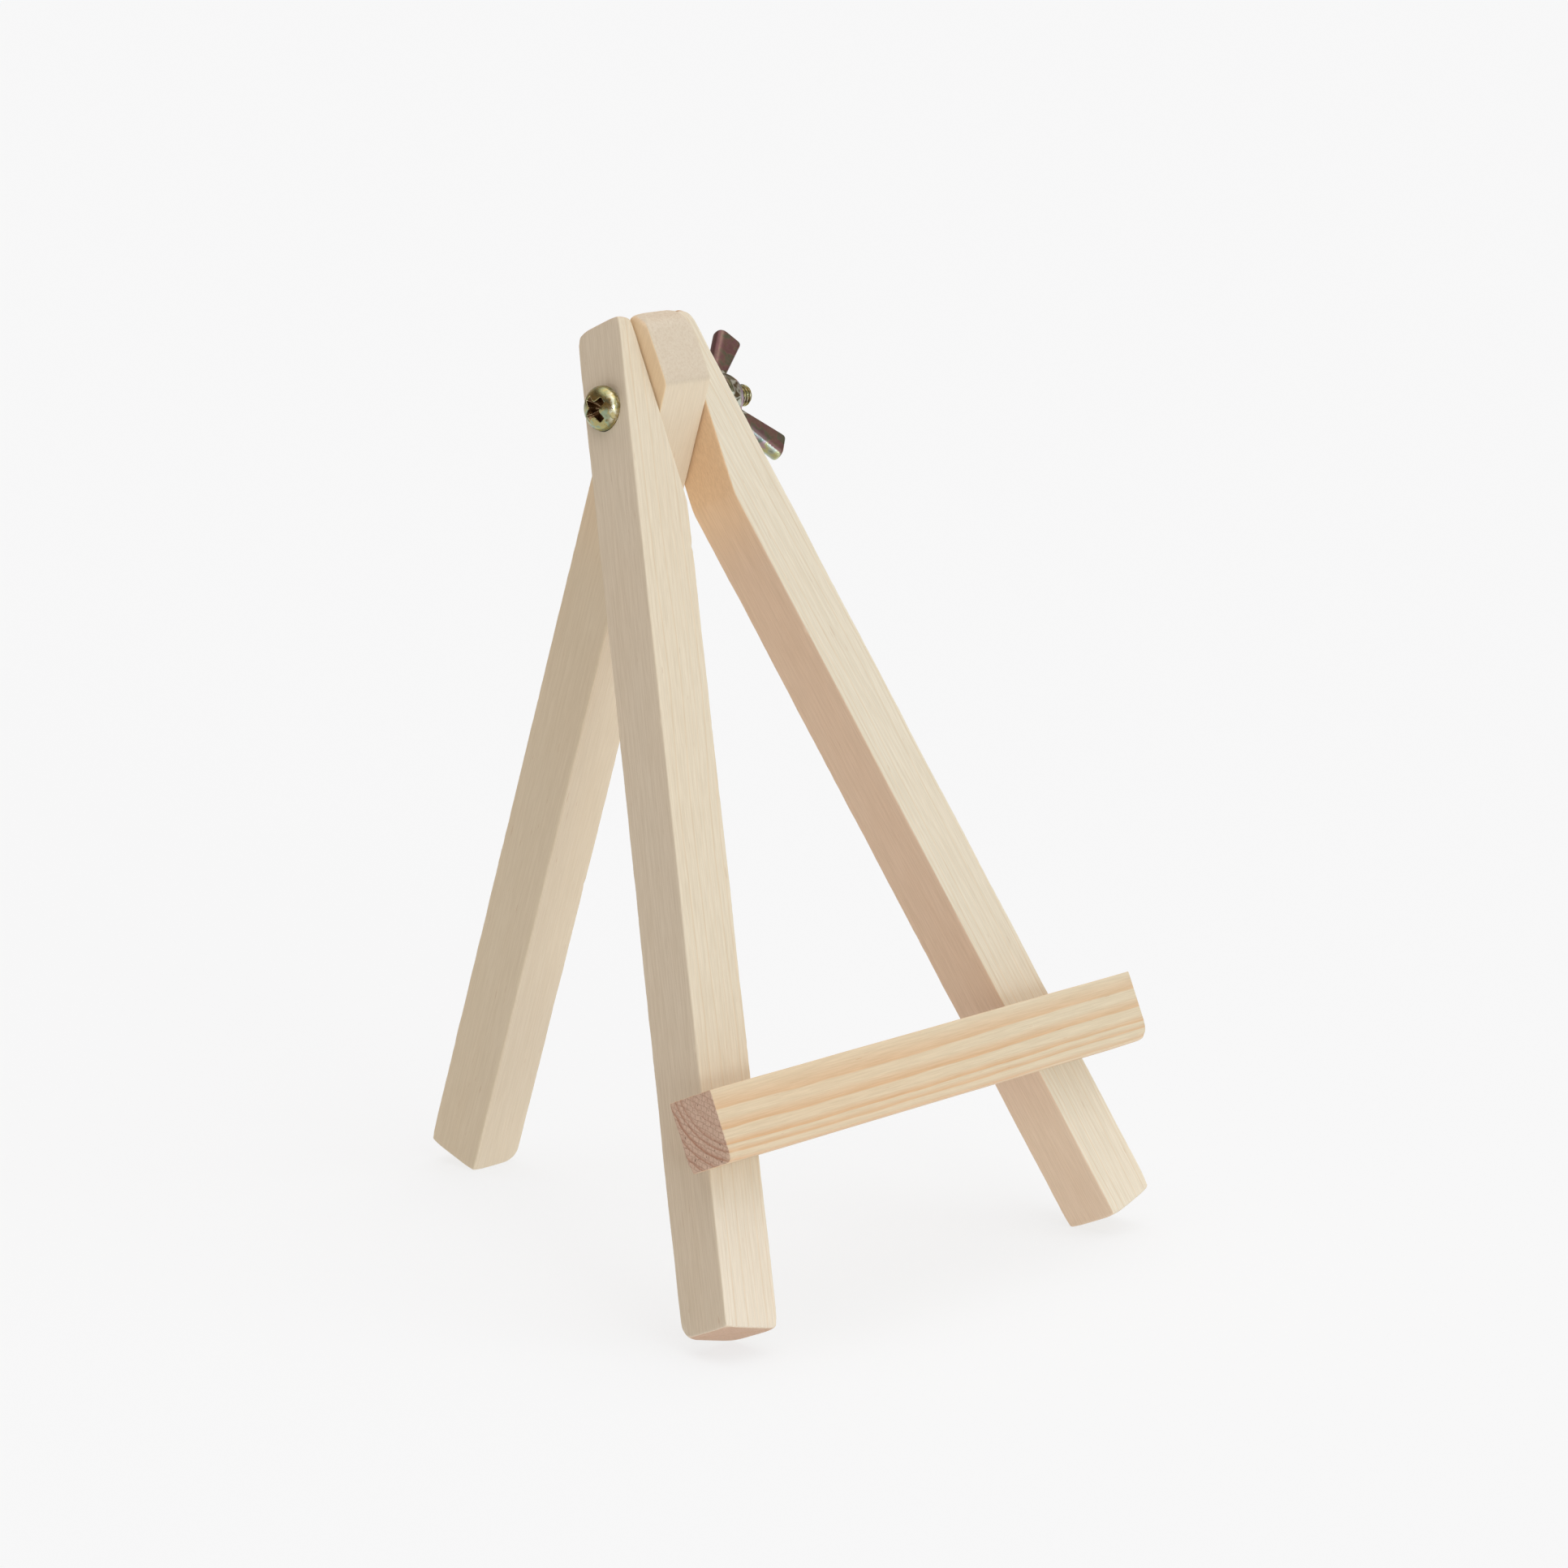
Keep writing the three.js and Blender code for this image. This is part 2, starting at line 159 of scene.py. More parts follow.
class Graph:
    """A short way to write a node tree: each call adds a node and returns its output socket."""

    def __init__(self, tree):
        self.tree = tree
        tree.nodes.clear()

    def add(self, kind, inputs=(), **settings):
        node = self.tree.nodes.new(kind)
        for key, value in settings.items():
            setattr(node, key, value)
        for key, value in dict(inputs).items():
            if isinstance(value, bpy.types.NodeSocket):
                self.tree.links.new(value, node.inputs[key])
            else:
                node.inputs[key].default_value = value
        return node

    def math(self, operation, *values, clamp=False):
        inputs = dict(enumerate(values))
        return self.add("ShaderNodeMath", inputs, operation=operation, use_clamp=clamp).outputs[0]

    def vector(self, operation, *values):
        inputs = dict(enumerate(values))
        node = self.add("ShaderNodeVectorMath", inputs, operation=operation)
        return node.outputs["Value" if operation in ("LENGTH", "DOT_PRODUCT") else "Vector"]

    def step(self, value, low, high, bottom=0.0, top=1.0):
        """Eases from bottom to top as the value goes from low to high."""
        inputs = {
            "Value": value, "From Min": low, "From Max": high, "To Min": bottom, "To Max": top,
        }
        node = self.add("ShaderNodeMapRange", inputs, interpolation_type="SMOOTHSTEP")
        return node.outputs["Result"]

    def scaled(self, point, x, y, z):
        return self.vector("MULTIPLY", point, (x, y, z))

    def noise(self, point, detail=2.0, rough=0.5, output="Fac"):
        inputs = {"Vector": point, "Scale": 1.0, "Detail": detail, "Roughness": rough}
        return self.add("ShaderNodeTexNoise", inputs).outputs[output]

    def mix(self, factor, a, b, blend="MIX"):
        node = self.add("ShaderNodeMix", data_type="RGBA", blend_type=blend)
        for socket, value in zip((node.inputs[0], node.inputs[6], node.inputs[7]), (factor, a, b)):
            if isinstance(value, bpy.types.NodeSocket):
                self.tree.links.new(value, socket)
            else:
                socket.default_value = value
        return node.outputs[2]

    def ramp(self, value, stops, interpolation="EASE"):
        node = self.add("ShaderNodeValToRGB", {"Fac": value})
        node.color_ramp.interpolation = interpolation
        elements = node.color_ramp.elements
        while len(elements) < len(stops):
            elements.new(0.5)
        for element, (place, colour) in zip(elements, stops):
            element.position = place
            element.color = colour
        return node.outputs["Color"]


def rgb(red, green, blue):
    """A colour from screen values of 0 to 255."""
    def linear(value):
        share = value / 255
        return share / 12.92 if share <= 0.04045 else ((share + 0.055) / 1.055) ** 2.4
    return (linear(red), linear(green), linear(blue), 1.0)


def make_world():
    """A pale studio: soft panels in front of and over the object, and a dimmer left side."""
    world = bpy.data.worlds.new("studio")
    bpy.context.scene.world = world
    world.use_nodes = True
    g = Graph(world.node_tree)
    toward = g.add("ShaderNodeTexCoord").outputs["Generated"]
    # Each panel is its direction, the cosines of its outer and inner edges, and its brightness.
    cool, neutral = Vector((0.93, 1.06, 1.11)), Vector((1.0, 1.0, 1.0))
    panels = (
        ((0.12, -0.83, 0.50), 0.75, 0.93, 0.97 * cool),
        ((0.0, 0.0, 1.0), 0.65, 0.95, 1.32 * neutral),
        ((-0.33, -0.93, 0.14), 0.985, 0.995, 9.0 * cool),
        ((0.75, 0.5, 0.35), 0.3, 0.95, 0.26 * neutral),
    )
    fill = (0.255, 0.176, 0.13)
    light = g.add("ShaderNodeCombineXYZ", dict(enumerate(fill))).outputs[0]
    for direction, outer, inner, colour in panels:
        facing = g.vector("DOT_PRODUCT", toward, Vector(direction).normalized())
        share = g.step(facing, outer, inner)
        panel = g.add("ShaderNodeVectorMath", {0: colour, "Scale": share}, operation="SCALE")
        light = g.vector("ADD", light, panel.outputs[0])
    background = g.add("ShaderNodeBackground", {"Color": light})
    g.add("ShaderNodeOutputWorld", {"Surface": background.outputs[0]})


def make_floor():
    """A wide pale sheet just under the feet; it glows a little, as the bright paper does."""
    radius, sides = 12.0, 96
    bm = bmesh.new()
    bmesh.ops.create_circle(bm, cap_ends=True, segments=sides, radius=radius)
    floor = object_from(bm, "floor")
    floor.location.z = -FLOOR_DROP * MM
    material = bpy.data.materials.new("pale_floor")
    material.use_nodes = True
    g = Graph(material.node_tree)
    paper, glow_colour = 0.25, (0.698, 0.711, 0.722, 1.0)
    diffuse = g.add("ShaderNodeBsdfDiffuse", {"Color": (paper, paper, paper, 1.0)})
    glow = g.add("ShaderNodeEmission", {"Color": glow_colour})
    both = g.add("ShaderNodeAddShader", {0: diffuse.outputs[0], 1: glow.outputs[0]})
    g.add("ShaderNodeOutputMaterial", {"Surface": both.outputs[0]})
    floor.data.materials.append(material)


# ---------------------------------------------------------------- mesh helpers

SHARP_ANGLE = math.radians(35)
# A ring's points: the steps of each rounded corner, and the shares along each straight side.
CORNER_STEPS = 5
SIDE_SHARES = (0.03, 0.1, 0.2, 0.35, 0.5, 0.65, 0.8, 0.9, 0.97)
RING_MARKS = ([1.0] * (CORNER_STEPS + 1) + [0.35] + [0.0] * (len(SIDE_SHARES) - 2) + [0.35]) * 4
# Sections along a stick: their pitch in its middle, their number in a worn or rounded end, and
# the least distance between two, in millimetres.
SECTION_PITCH = 1.6
WORN_REACH = 3.4
WORN_STEPS = 12
ROUND_STEPS = 6
LEAST_PITCH = 0.05


def object_from(bm, name, space=None):
    """An object from a bmesh in metres, placed in the row frame by space, in millimetres."""
    mesh = bpy.data.meshes.new(name)
    bm.to_mesh(mesh)
    bm.free()
    thing = bpy.data.objects.new(name, mesh)
    if space is not None:
        place = space.copy()
        place.translation = space.translation * MM
        thing.matrix_world = place
    bpy.context.collection.objects.link(thing)
    return thing


def loft(rings, edge_marks, name, space, cap_depth=0.0):
    """A closed solid through rings of points, in millimetres, its ends filled by shrinking rings.

    edge_marks holds, for each point of a ring, how far it is part of a long edge. cap_depth is how
    uneven the ends are."""
    bm = bmesh.new()
    mark = bm.verts.layers.float.new("edge")
    count = len(rings[0])

    def add_ring(points, marks):
        verts = [bm.verts.new(Vector(p) * MM) for p in points]
        for vert, value in zip(verts, marks):
            vert[mark] = value
        return verts

    def bridge(low, high):
        for i in range(count):
            j = (i + 1) % count
            bm.faces.new((low[i], low[j], high[j], high[i]))

    def cap(ring, points, top):
        middle = sum((Vector(p) for p in points), Vector()) / count
        last = ring
        for share in (0.86, 0.6, 0.3):
            inner = []
            for p in points:
                q = middle + (Vector(p) - middle) * share
                q.z += cap_depth * (noise.noise(q * 0.9) - 0.1)
                inner.append(q)
            verts = add_ring(inner, [0.0] * count)
            bridge(*((last, verts) if top else (verts, last)))
            last = verts
        hub = bm.verts.new(middle * MM)
        for i in range(count):
            j = (i + 1) % count
            bm.faces.new((last[i], last[j], hub) if top else (last[j], last[i], hub))

    made = [add_ring(points, edge_marks) for points in rings]
    for low, high in zip(made, made[1:]):
        bridge(low, high)
    cap(made[0], rings[0], False)
    cap(made[-1], rings[-1], True)
    return finish_mesh(object_from(bm, name, space))


def finish_mesh(thing):
    """Smooth shading, with the edges that turn sharply kept sharp."""
    thing.data.polygons.foreach_set("use_smooth", [True] * len(thing.data.polygons))
    thing.data.set_sharp_from_angle(angle=SHARP_ANGLE)
    return thing


def rounded_ring(x0, x1, y0, y1, z, radii):
    """A rectangle with its own radius at each corner, counter-clockwise from the (x1, y1) one."""
    limit = 0.49 * min(x1 - x0, y1 - y0)
    radii = [min(r, limit) for r in radii]
    corners = ((x1, y1, -1, -1), (x0, y1, 1, -1), (x0, y0, 1, 1), (x1, y0, -1, 1))
    arcs = []
    for k, ((x, y, sx, sy), r) in enumerate(zip(corners, radii)):
        middle = Vector((x + sx * r, y + sy * r, z))
        start = k * math.pi / 2
        turns = [start + math.pi / 2 * i / CORNER_STEPS for i in range(CORNER_STEPS + 1)]
        arcs.append([middle + Vector((math.cos(t), math.sin(t), 0)) * r for t in turns])
    points = []
    for k, arc in enumerate(arcs):
        points += arc
        end = arcs[(k + 1) % 4][0]
        points += [arc[-1].lerp(end, share) for share in SIDE_SHARES]
    return points


def end_inset(gap, radius):
    """How far a rounded end stands in from the sides, at a distance gap from its tip."""
    if gap >= radius:
        return 0.0
    return radius - math.sqrt(radius * radius - (radius - gap) ** 2)


def places_along(start, end, round_start, round_end, nicks):
    """Heights at which a stick is sectioned: close together near its ends and at its nicks."""
    eased = [1 - math.cos(math.pi / 2 * i / ROUND_STEPS) for i in range(ROUND_STEPS + 1)]
    places = {start + round_start * share for share in eased}
    places |= {end - round_end * share for share in eased}
    for i in range(1, WORN_STEPS + 1):
        places |= {start + WORN_REACH * i / WORN_STEPS, end - WORN_REACH * i / WORN_STEPS}
    low, high = start + WORN_REACH, end - WORN_REACH
    count = int((high - low) / SECTION_PITCH)
    places |= {low + (high - low) * i / count for i in range(1, count)}
    for place, _, _, reach in nicks:
        places |= {place + reach * i / 4 for i in range(-8, 9)}
    return thinned(places, start, end)


def thinned(places, start, end):
    """The places in order, without those that crowd a neighbour."""
    ordered = sorted(p for p in places if start < p < end)
    kept = [start]
    for place in ordered:
        if place - kept[-1] > LEAST_PITCH and end - place > LEAST_PITCH:
            kept.append(place)
    return kept + [end]


def edge_radii(z, seed, base, nicks):
    """The radius of each long edge at height z: softly uneven, and larger at a nick."""
    radii = []
    for k in range(4):
        wander = noise.noise(Vector((z * 0.11, seed * 7.3, k * 3.1)))
        ripple = noise.noise(Vector((z * 0.8, seed * 2.9, k * 5.7)))
        radius = base * (1 + 0.5 * wander + 0.45 * ripple)
        for place, corner, depth, reach in nicks:
            if corner == k:
                radius += depth * math.exp(-(((z - place) / reach) ** 2) * 2)
        radii.append(radius)
    return radii


def wear(points, box, worn):
    """Pushes a ring's points inward near the stick's worn end corners.

    worn holds, for each such corner, its number, its end's height, which way inward is along the
    stick, and how deep it is worn."""
    across_share, along_share = 0.82, 0.57
    x0, x1, y0, y1 = box
    places = ((x1, y1), (x0, y1), (x0, y0), (x1, y0))
    middle = Vector(((x0 + x1) / 2, (y0 + y1) / 2, 0))
    moved = []
    for p in points:
        shift = Vector()
        for corner, height, inward, depth in worn:
            tip = Vector((*places[corner], height))
            near = max(0.0, 1 - (p - tip).length / WORN_REACH)
            aim = Vector((middle.x - tip.x, middle.y - tip.y, 0)).normalized() * across_share
            aim.z = along_share * inward
            shift += aim * (depth * near * near)
        moved.append(p + shift)
    return moved


def soft_max(value, softness=0.15):
    """value where it is above 0, else 0, with the bend between them eased."""
    return 0.5 * (value + math.sqrt(value * value + softness * softness))


# ---------------------------------------------------------------- the wooden pieces

def stick(
    name, space, span, bounds_at, rounds, seed, nicks, worn,
    edge=0.3, softer=(0, 0, 0, 0), extra_places=(), chip=None,
):
    """A planed stick along +Z. bounds_at(z) gives its x and y limits at a height; worn gives how
    deep each end corner is worn, at the start and then at the end; softer adds to the radius of
    each long edge; chip moves a ring's points."""
    wave_depth, end_depth = 0.04, 0.12
    start, end = span
    heights = thinned({*places_along(start, end, *rounds, nicks), *extra_places}, start, end)
    ends = [(k, start, 1, depth) for k, depth in enumerate(worn[:4])]
    ends += [(k, end, -1, depth) for k, depth in enumerate(worn[4:])]
    rings = []
    for z in heights:
        box = bounds_at(z)
        inset = end_inset(z - start, rounds[0]) + end_inset(end - z, rounds[1])
        wave = [wave_depth * noise.noise(Vector((z * 0.06, seed, side * 4.4))) for side in range(4)]
        x0, x1, y0, y1 = (
            limit + swing + sign * inset for limit, swing, sign in zip(box, wave, (1, -1, 1, -1))
        )
        radii = [extra + r for extra, r in zip(softer, edge_radii(z, seed, edge, nicks))]
        ring = rounded_ring(x0, x1, y0, y1, z, radii)
        near_end = [corner for corner in ends if abs(corner[1] - z) < WORN_REACH]
        ring = wear(ring, box, near_end) if near_end else ring
        rings.append([chip(p) for p in ring] if chip else ring)
    return loft(rings, RING_MARKS, name, space, cap_depth=end_depth)


def cut(thing, cutters):
    """Takes the cutters out of a piece for good, and deletes them."""
    for i, cutter in enumerate(cutters):
        modifier = thing.modifiers.new(f"cut{i}", "BOOLEAN")
        modifier.operation = "DIFFERENCE"
        modifier.solver = "EXACT"
        modifier.object = cutter
    bake(thing)
    for cutter in cutters:
        bpy.data.objects.remove(cutter)
    return finish_mesh(thing)


def bake(thing):
    """Turns a piece's modifiers into its mesh."""
    bpy.context.view_layer.update()
    graph = bpy.context.evaluated_depsgraph_get()
    mesh = bpy.data.meshes.new_from_object(thing.evaluated_get(graph), depsgraph=graph)
    thing.modifiers.clear()
    thing.data = mesh


def lathe(name, profile, space, segments=96, radius_at=None):
    """A solid turned about +Z from (z, radius) points; a radius of 0 closes it on the axis.

    A profile that starts off the axis is closed into a hoop. radius_at(z, turn, radius) gives the
    radius at a turn, for a piece that isn't round."""
    bm = bmesh.new()
    rings = []
    for z, radius in profile:
        ring = []
        for i in range(segments if radius else 1):
            t = 2 * math.pi * i / segments
            r = radius_at(z, t, radius) if radius and radius_at else radius
            ring.append(bm.verts.new(Vector((math.cos(t) * r, math.sin(t) * r, z)) * MM))
        rings.append(ring)
    hoop = len(rings[0]) > 1
    for low, high in zip(rings, rings[1:] + rings[:1] if hoop else rings[1:]):
        for i in range(segments):
            j = (i + 1) % segments
            if len(low) == 1:
                bm.faces.new((low[0], high[j], high[i]))
            elif len(high) == 1:
                bm.faces.new((low[i], low[j], high[0]))
            else:
                bm.faces.new((low[i], low[j], high[j], high[i]))
    bmesh.ops.recalc_face_normals(bm, faces=bm.faces)
    return finish_mesh(object_from(bm, name, space))


def plug(name, radius, start, end, space):
    """A round cutter along an axle."""
    return lathe(name, [(start, 0), (start, radius), (end, radius), (end, 0)], space, 64)


def brad_space(side):
    """From the back of a front leg, behind the middle of the ledge: z is out of the wood."""
    up = LEDGE_BOTTOM + LEDGE_HEIGHT / 2
    across = FOOT_HALF_GAP + STOCK / 2 / math.cos(SPLAY) - up * math.tan(SPLAY)
    return (
        FRONT_SPACE
        @ Matrix.Translation((side * across, 0, up))
        @ Matrix.Rotation(-math.pi / 2, 4, "X")
    )


def front_leg(name, side, seed, nicks, worn, seat, seat_radius):
    """A front leg, cut upright where it meets the middle, with its bore, seat and brad dimple."""
    space = (
        FRONT_SPACE
        @ Matrix.Translation((side * FOOT_HALF_GAP, 0, 0))
        @ Matrix.Rotation(-side * SPLAY, 4, "Y")
    )
    kink = (FOOT_HALF_GAP - FORK_HALF_GAP) / math.sin(SPLAY)

    def bounds_at(z):
        inner = soft_max((z - kink) * math.tan(SPLAY))
        low, high = sorted((side * inner, side * STOCK))
        return low, high, -FRONT_THICK, 0

    leg = stick(
        name, space, (0, LEG_LENGTH), bounds_at, FRONT_LEG_ROUNDS, seed, nicks, worn,
        extra_places=[kink + d for d in (-0.6, -0.25, 0, 0.25, 0.6)],
    )
    out = 3 * STOCK
    seat_span = (-out, seat) if side < 0 else (seat, out)
    dimple_radius, dimple_floor = BRAD_HEAD_RADIUS + DIMPLE_ROOM, -BRAD_SET - BRAD_HEAD_THICK
    cut(leg, [
        plug("bore", BORE_RADIUS, -out, out, SCREW_SPACE),
        plug("seat", seat_radius + SEAT_ROOM, *seat_span, SCREW_SPACE),
        plug("dimple", dimple_radius, dimple_floor, 1.0, brad_space(side)),
    ])
    return leg


def rear_reach(height):
    """How far the rear leg goes below the pivot for its rounded front edge to touch the floor."""
    drop = height - FOOT_ROUND + (FOOT_ROUND - REAR_PIVOT_IN) * math.sin(REAR_TILT)
    return FOOT_ROUND + drop / math.cos(REAR_TILT)


def rear_leg(name, seed, nicks, worn):
    """The rear leg, with the bevel in front of its top and its bore."""
    front, back = -REAR_PIVOT_IN, REAR_DEPTH - REAR_PIVOT_IN
    half = REAR_WIDTH / 2
    foot = -rear_reach(PIVOT.z)
    bevel = REAR_TOP - REAR_BEVEL

    def bounds_at(z):
        return -half, half, front + soft_max(z - bevel, 0.6), back

    leg = stick(
        name, REAR_SPACE, (foot, REAR_TOP), bounds_at, REAR_LEG_ROUNDS, seed, nicks, worn,
        extra_places=[bevel + d for d in (-0.6, -0.3, 0, 0.3, 0.6)],
    )
    cut(leg, [plug("bore", REAR_BORE_RADIUS, -STOCK, STOCK, AXLE_SPACE)])
    return leg


def ledge_bar(name, seed, nicks, worn):
    """The ledge, its upper front edge the softest and its sawn left end chipped at the back."""
    chip_length, chip_reach, chip_depth = 1.1, 1.6, 0.85

    def chip(p):
        """Small steps broken out of the back edge of the sawn left end."""
        if p.z > chip_length or p.y > chip_reach:
            return p
        step = max(0.0, noise.cell(Vector((p.x * 0.62, seed, 0.5))) - 0.25)
        fade = (1 - p.z / chip_length) * (1 - p.y / chip_reach)
        return p + Vector((0, 1, 0.5)) * (chip_depth * step * fade)

    return stick(
        name, LEDGE_SPACE, (0, LEDGE_LENGTH), lambda z: (0, LEDGE_HEIGHT, 0, LEDGE_DEPTH),
        LEDGE_ROUNDS, seed, nicks, worn, edge=0.22, softer=(0, 0.9, 0.2, 0), chip=chip,
    )


# ---------------------------------------------------------------- the metal pieces

def soften(thing, voxel, rounds):
    """Remeshes a piece evenly and smooths it, which rounds its edges as plating and tumbling do.

    voxel is the mesh's pitch in millimetres and rounds how many times it is smoothed."""
    remesh = thing.modifiers.new("even", "REMESH")
    remesh.mode = "VOXEL"
    remesh.voxel_size = voxel * MM
    remesh.use_smooth_shade = True
    smooth = thing.modifiers.new("smooth", "SMOOTH")
    smooth.factor = 0.5
    smooth.iterations = rounds
    bake(thing)
    return thing


def cross_cutter():
    """The recess of a cross head screw: four tapering arms, rounded where they meet, and a point.

    Its sections are their depths below the top of the head and their widths as shares."""
    sections, deepest = ((-0.4, 1.1), (0.0, 1.0), (1.6, 0.62), (2.0, 0.4)), 2.4
    arm, half_width, ease = 3.0, 0.78, 0.75
    middle = half_width + ease
    arc = [math.pi / 2 * i / 4 for i in range(5)]
    quarter = [(arm, -half_width), (arm, half_width)]
    quarter += [(middle - ease * math.sin(t), middle - ease * math.cos(t)) for t in arc]
    outline = []
    for k in range(4):
        turn = Matrix.Rotation(k * math.pi / 2 + math.pi / 4, 2)
        outline += [turn @ Vector(p) for p in quarter]
    top = HEAD_SEAT - HEAD_HEIGHT
    bm = bmesh.new()
    layers = [
        [bm.verts.new(Vector((p.x * share, p.y * share, top + depth)) * MM) for p in outline]
        for depth, share in sections
    ]
    for low, high in zip(layers, layers[1:]):
        for i in range(len(outline)):
            j = (i + 1) % len(outline)
            bm.faces.new((low[i], low[j], high[j], high[i]))
    bm.faces.new(reversed(layers[0]))
    tip = bm.verts.new(Vector((0, 0, top + deepest)) * MM)
    for i in range(len(outline)):
        bm.faces.new((layers[-1][i], layers[-1][(i + 1) % len(outline)], tip))
    bmesh.ops.recalc_face_normals(bm, faces=bm.faces)
    return object_from(bm, "cross", SCREW_SPACE)


def screw_head(join):
    """The pan head and the first of the shank, up to join."""
    rise = HEAD_HEIGHT - HEAD_RIM
    steps, fullness = 14, 0.92
    dome = [
        (HEAD_SEAT - HEAD_RIM - rise * math.cos(t), HEAD_RADIUS * math.sin(t) ** fullness)
        for t in (math.pi / 2 * i / steps for i in range(steps + 1))
    ]
    profile = [
        (dome[0][0], 0), *dome[1:], (HEAD_SEAT, HEAD_RADIUS), (HEAD_SEAT, THREAD_RADIUS),
        (join, THREAD_RADIUS), (join, 0),
    ]
    head = lathe("pivot_screw_turned", profile, SCREW_SPACE)
    cut(head, [cross_cutter()])
    return soften(head, 0.075, 5)


def screw_shank(start):
    """The rest of the shank: plain, then a real thread out to a chamfered tip."""
    tip = HEAD_SEAT + SHANK_LENGTH
    thread_start = OUTER_FACE_AT_PIVOT - 2
    root_share, flank_share = 0.12, 0.72
    chamfer, chamfer_slope = 0.5, 0.9

    def radius_at(z, turn, radius):
        if z < thread_start:
            return radius
        phase = (z / PITCH - turn / (2 * math.pi)) % 1.0
        ridge = 1 - abs(2 * phase - 1)
        depth = THREAD_DEPTH * min(1.0, (z - thread_start) / PITCH)
        shaped = min(1.0, max(0.0, (ridge - root_share) / flank_share))
        return min(radius, THREAD_RADIUS - depth * (1 - shaped))

    profile = [(start, 0), (start, THREAD_RADIUS), (thread_start, THREAD_RADIUS)]
    sections = int((tip - thread_start) / (PITCH / 12))
    for i in range(1, sections + 1):
        z = thread_start + (tip - thread_start) * i / sections
        profile.append((z, THREAD_RADIUS - max(0.0, z - (tip - chamfer)) * chamfer_slope))
    profile.append((tip, 0))
    return lathe("shank", profile, SCREW_SPACE, 72, radius_at)


def join_pieces(pieces):
    """Joins pieces into the first one."""
    with bpy.context.temp_override(
        active_object=pieces[0], object=pieces[0],
        selected_objects=pieces, selected_editable_objects=pieces,
    ):
        bpy.ops.object.join()
    return pieces[0]


def make_screw():
    """The screw: a head that can be remeshed and a shank that keeps its thread, a hair apart."""
    join, hair = HEAD_SEAT + 2, 0.01
    return join_pieces([screw_head(join), screw_shank(join + hair)])


def make_washer():
    """A stamped washer, its edges slightly broken."""
    ease, room = 0.12, 0.15
    low, high = WASHER_SEAT, WASHER_SEAT + WASHER_THICK
    inner = THREAD_RADIUS + room
    profile = [
        (low, inner + ease), (low, WASHER_RADIUS - ease), (low + ease, WASHER_RADIUS),
        (high - ease, WASHER_RADIUS), (high, WASHER_RADIUS - ease), (high, inner + ease),
        (high - ease, inner), (low + ease, inner),
    ]
    return lathe("flat_washer_stamped", profile, SCREW_SPACE)


def wing_blade(name, space):
    """One wing along +Z: a thick blade, rounded on its near edge and sharper on its far one."""
    tip_round, face_round, thinning = 0.9, 0.4, 0.06
    near_radius, far_radius = 1.2, 0.35
    steps, pitch = 8, 0.8
    rounding = [
        WING_LENGTH - tip_round * math.cos(math.pi / 2 * i / steps) for i in range(steps + 1)
    ]
    heights = [i * pitch for i in range(-1, int(WING_LENGTH / pitch))] + rounding
    rings = []
    for z in thinned(heights, -WING_SUNK, WING_LENGTH):
        share = (z + WING_SUNK) / (WING_LENGTH + WING_SUNK)
        far, near = (
            root + (tip - root) * share - end_inset(WING_LENGTH - z, tip_round)
            for root, tip in zip(WING_ROOT_EDGES, WING_TIP_EDGES)
        )
        half_thick = WING_THICK / 2 * (1 - thinning * share)
        half_thick -= end_inset(WING_LENGTH - z, face_round)
        radii = (near_radius, near_radius, far_radius, far_radius)
        ring = rounded_ring(-half_thick, half_thick, -far, near, z, radii)
        # The tip is cut at a slant, so that the near edge is the longer one.
        slant = WING_SLANT * max(0.0, z) / WING_LENGTH / sum(WING_TIP_EDGES)
        rings.append([p + Vector((0, 0, slant * (p.y + WING_TIP_EDGES[0]))) for p in ring])
    return loft(rings, RING_MARKS, name, space)


def make_wing_nut():
    """A forged hub with two wings; its bore is plain, since the thread in it can't be seen."""
    base = WASHER_SEAT + WASHER_THICK + NUT_GAP
    # From the bearing face: z is along the axis and y towards the tip of the upper wing.
    space = (
        Matrix.Translation(PIVOT)
        @ Matrix.Rotation(SCREW_TILT, 4, "Y")
        @ Matrix.Translation((base, 0, 0))
        @ Matrix.Rotation(-WING_ANGLE, 4, "X")
        @ ALONG_X
    )
    bore, countersink, foot, rim = THREAD_RADIUS + 0.12, 0.45, 0.4, 0.6
    hub = lathe("wing_nut_forged", [
        (0, 0), (0, HUB_BASE_RADIUS - foot), (foot, HUB_BASE_RADIUS),
        (HUB_HEIGHT - 2 * rim, HUB_RIM_RADIUS), (HUB_HEIGHT, HUB_RIM_RADIUS - rim), (HUB_HEIGHT, 0),
    ], space)
    root_up, root_out = WING_ROOT
    at_root = Matrix.Translation((0, root_out, root_up)) @ Matrix.Rotation(-WING_FLARE, 4, "X")
    turns = (Matrix.Identity(4), Matrix.Rotation(math.pi, 4, "Z"))
    wings = [wing_blade(f"wing{i}", space @ turn @ at_root) for i, turn in enumerate(turns)]
    for i, wing in enumerate(wings):
        modifier = hub.modifiers.new(f"join{i}", "BOOLEAN")
        modifier.operation = "UNION"
        modifier.solver = "EXACT"
        modifier.object = wing
    bake(hub)
    for wing in wings:
        bpy.data.objects.remove(wing)
    hole = lathe("hole", [
        (-1, 0), (-1, bore + 1 + countersink), (0, bore + countersink), (countersink, bore),
        (HUB_HEIGHT - countersink, bore), (HUB_HEIGHT, bore + countersink),
        (HUB_HEIGHT + 1, bore + 1 + countersink), (HUB_HEIGHT + 1, 0),
    ], space)
    cut(hub, [hole])
    return soften(hub, 0.16, 6)


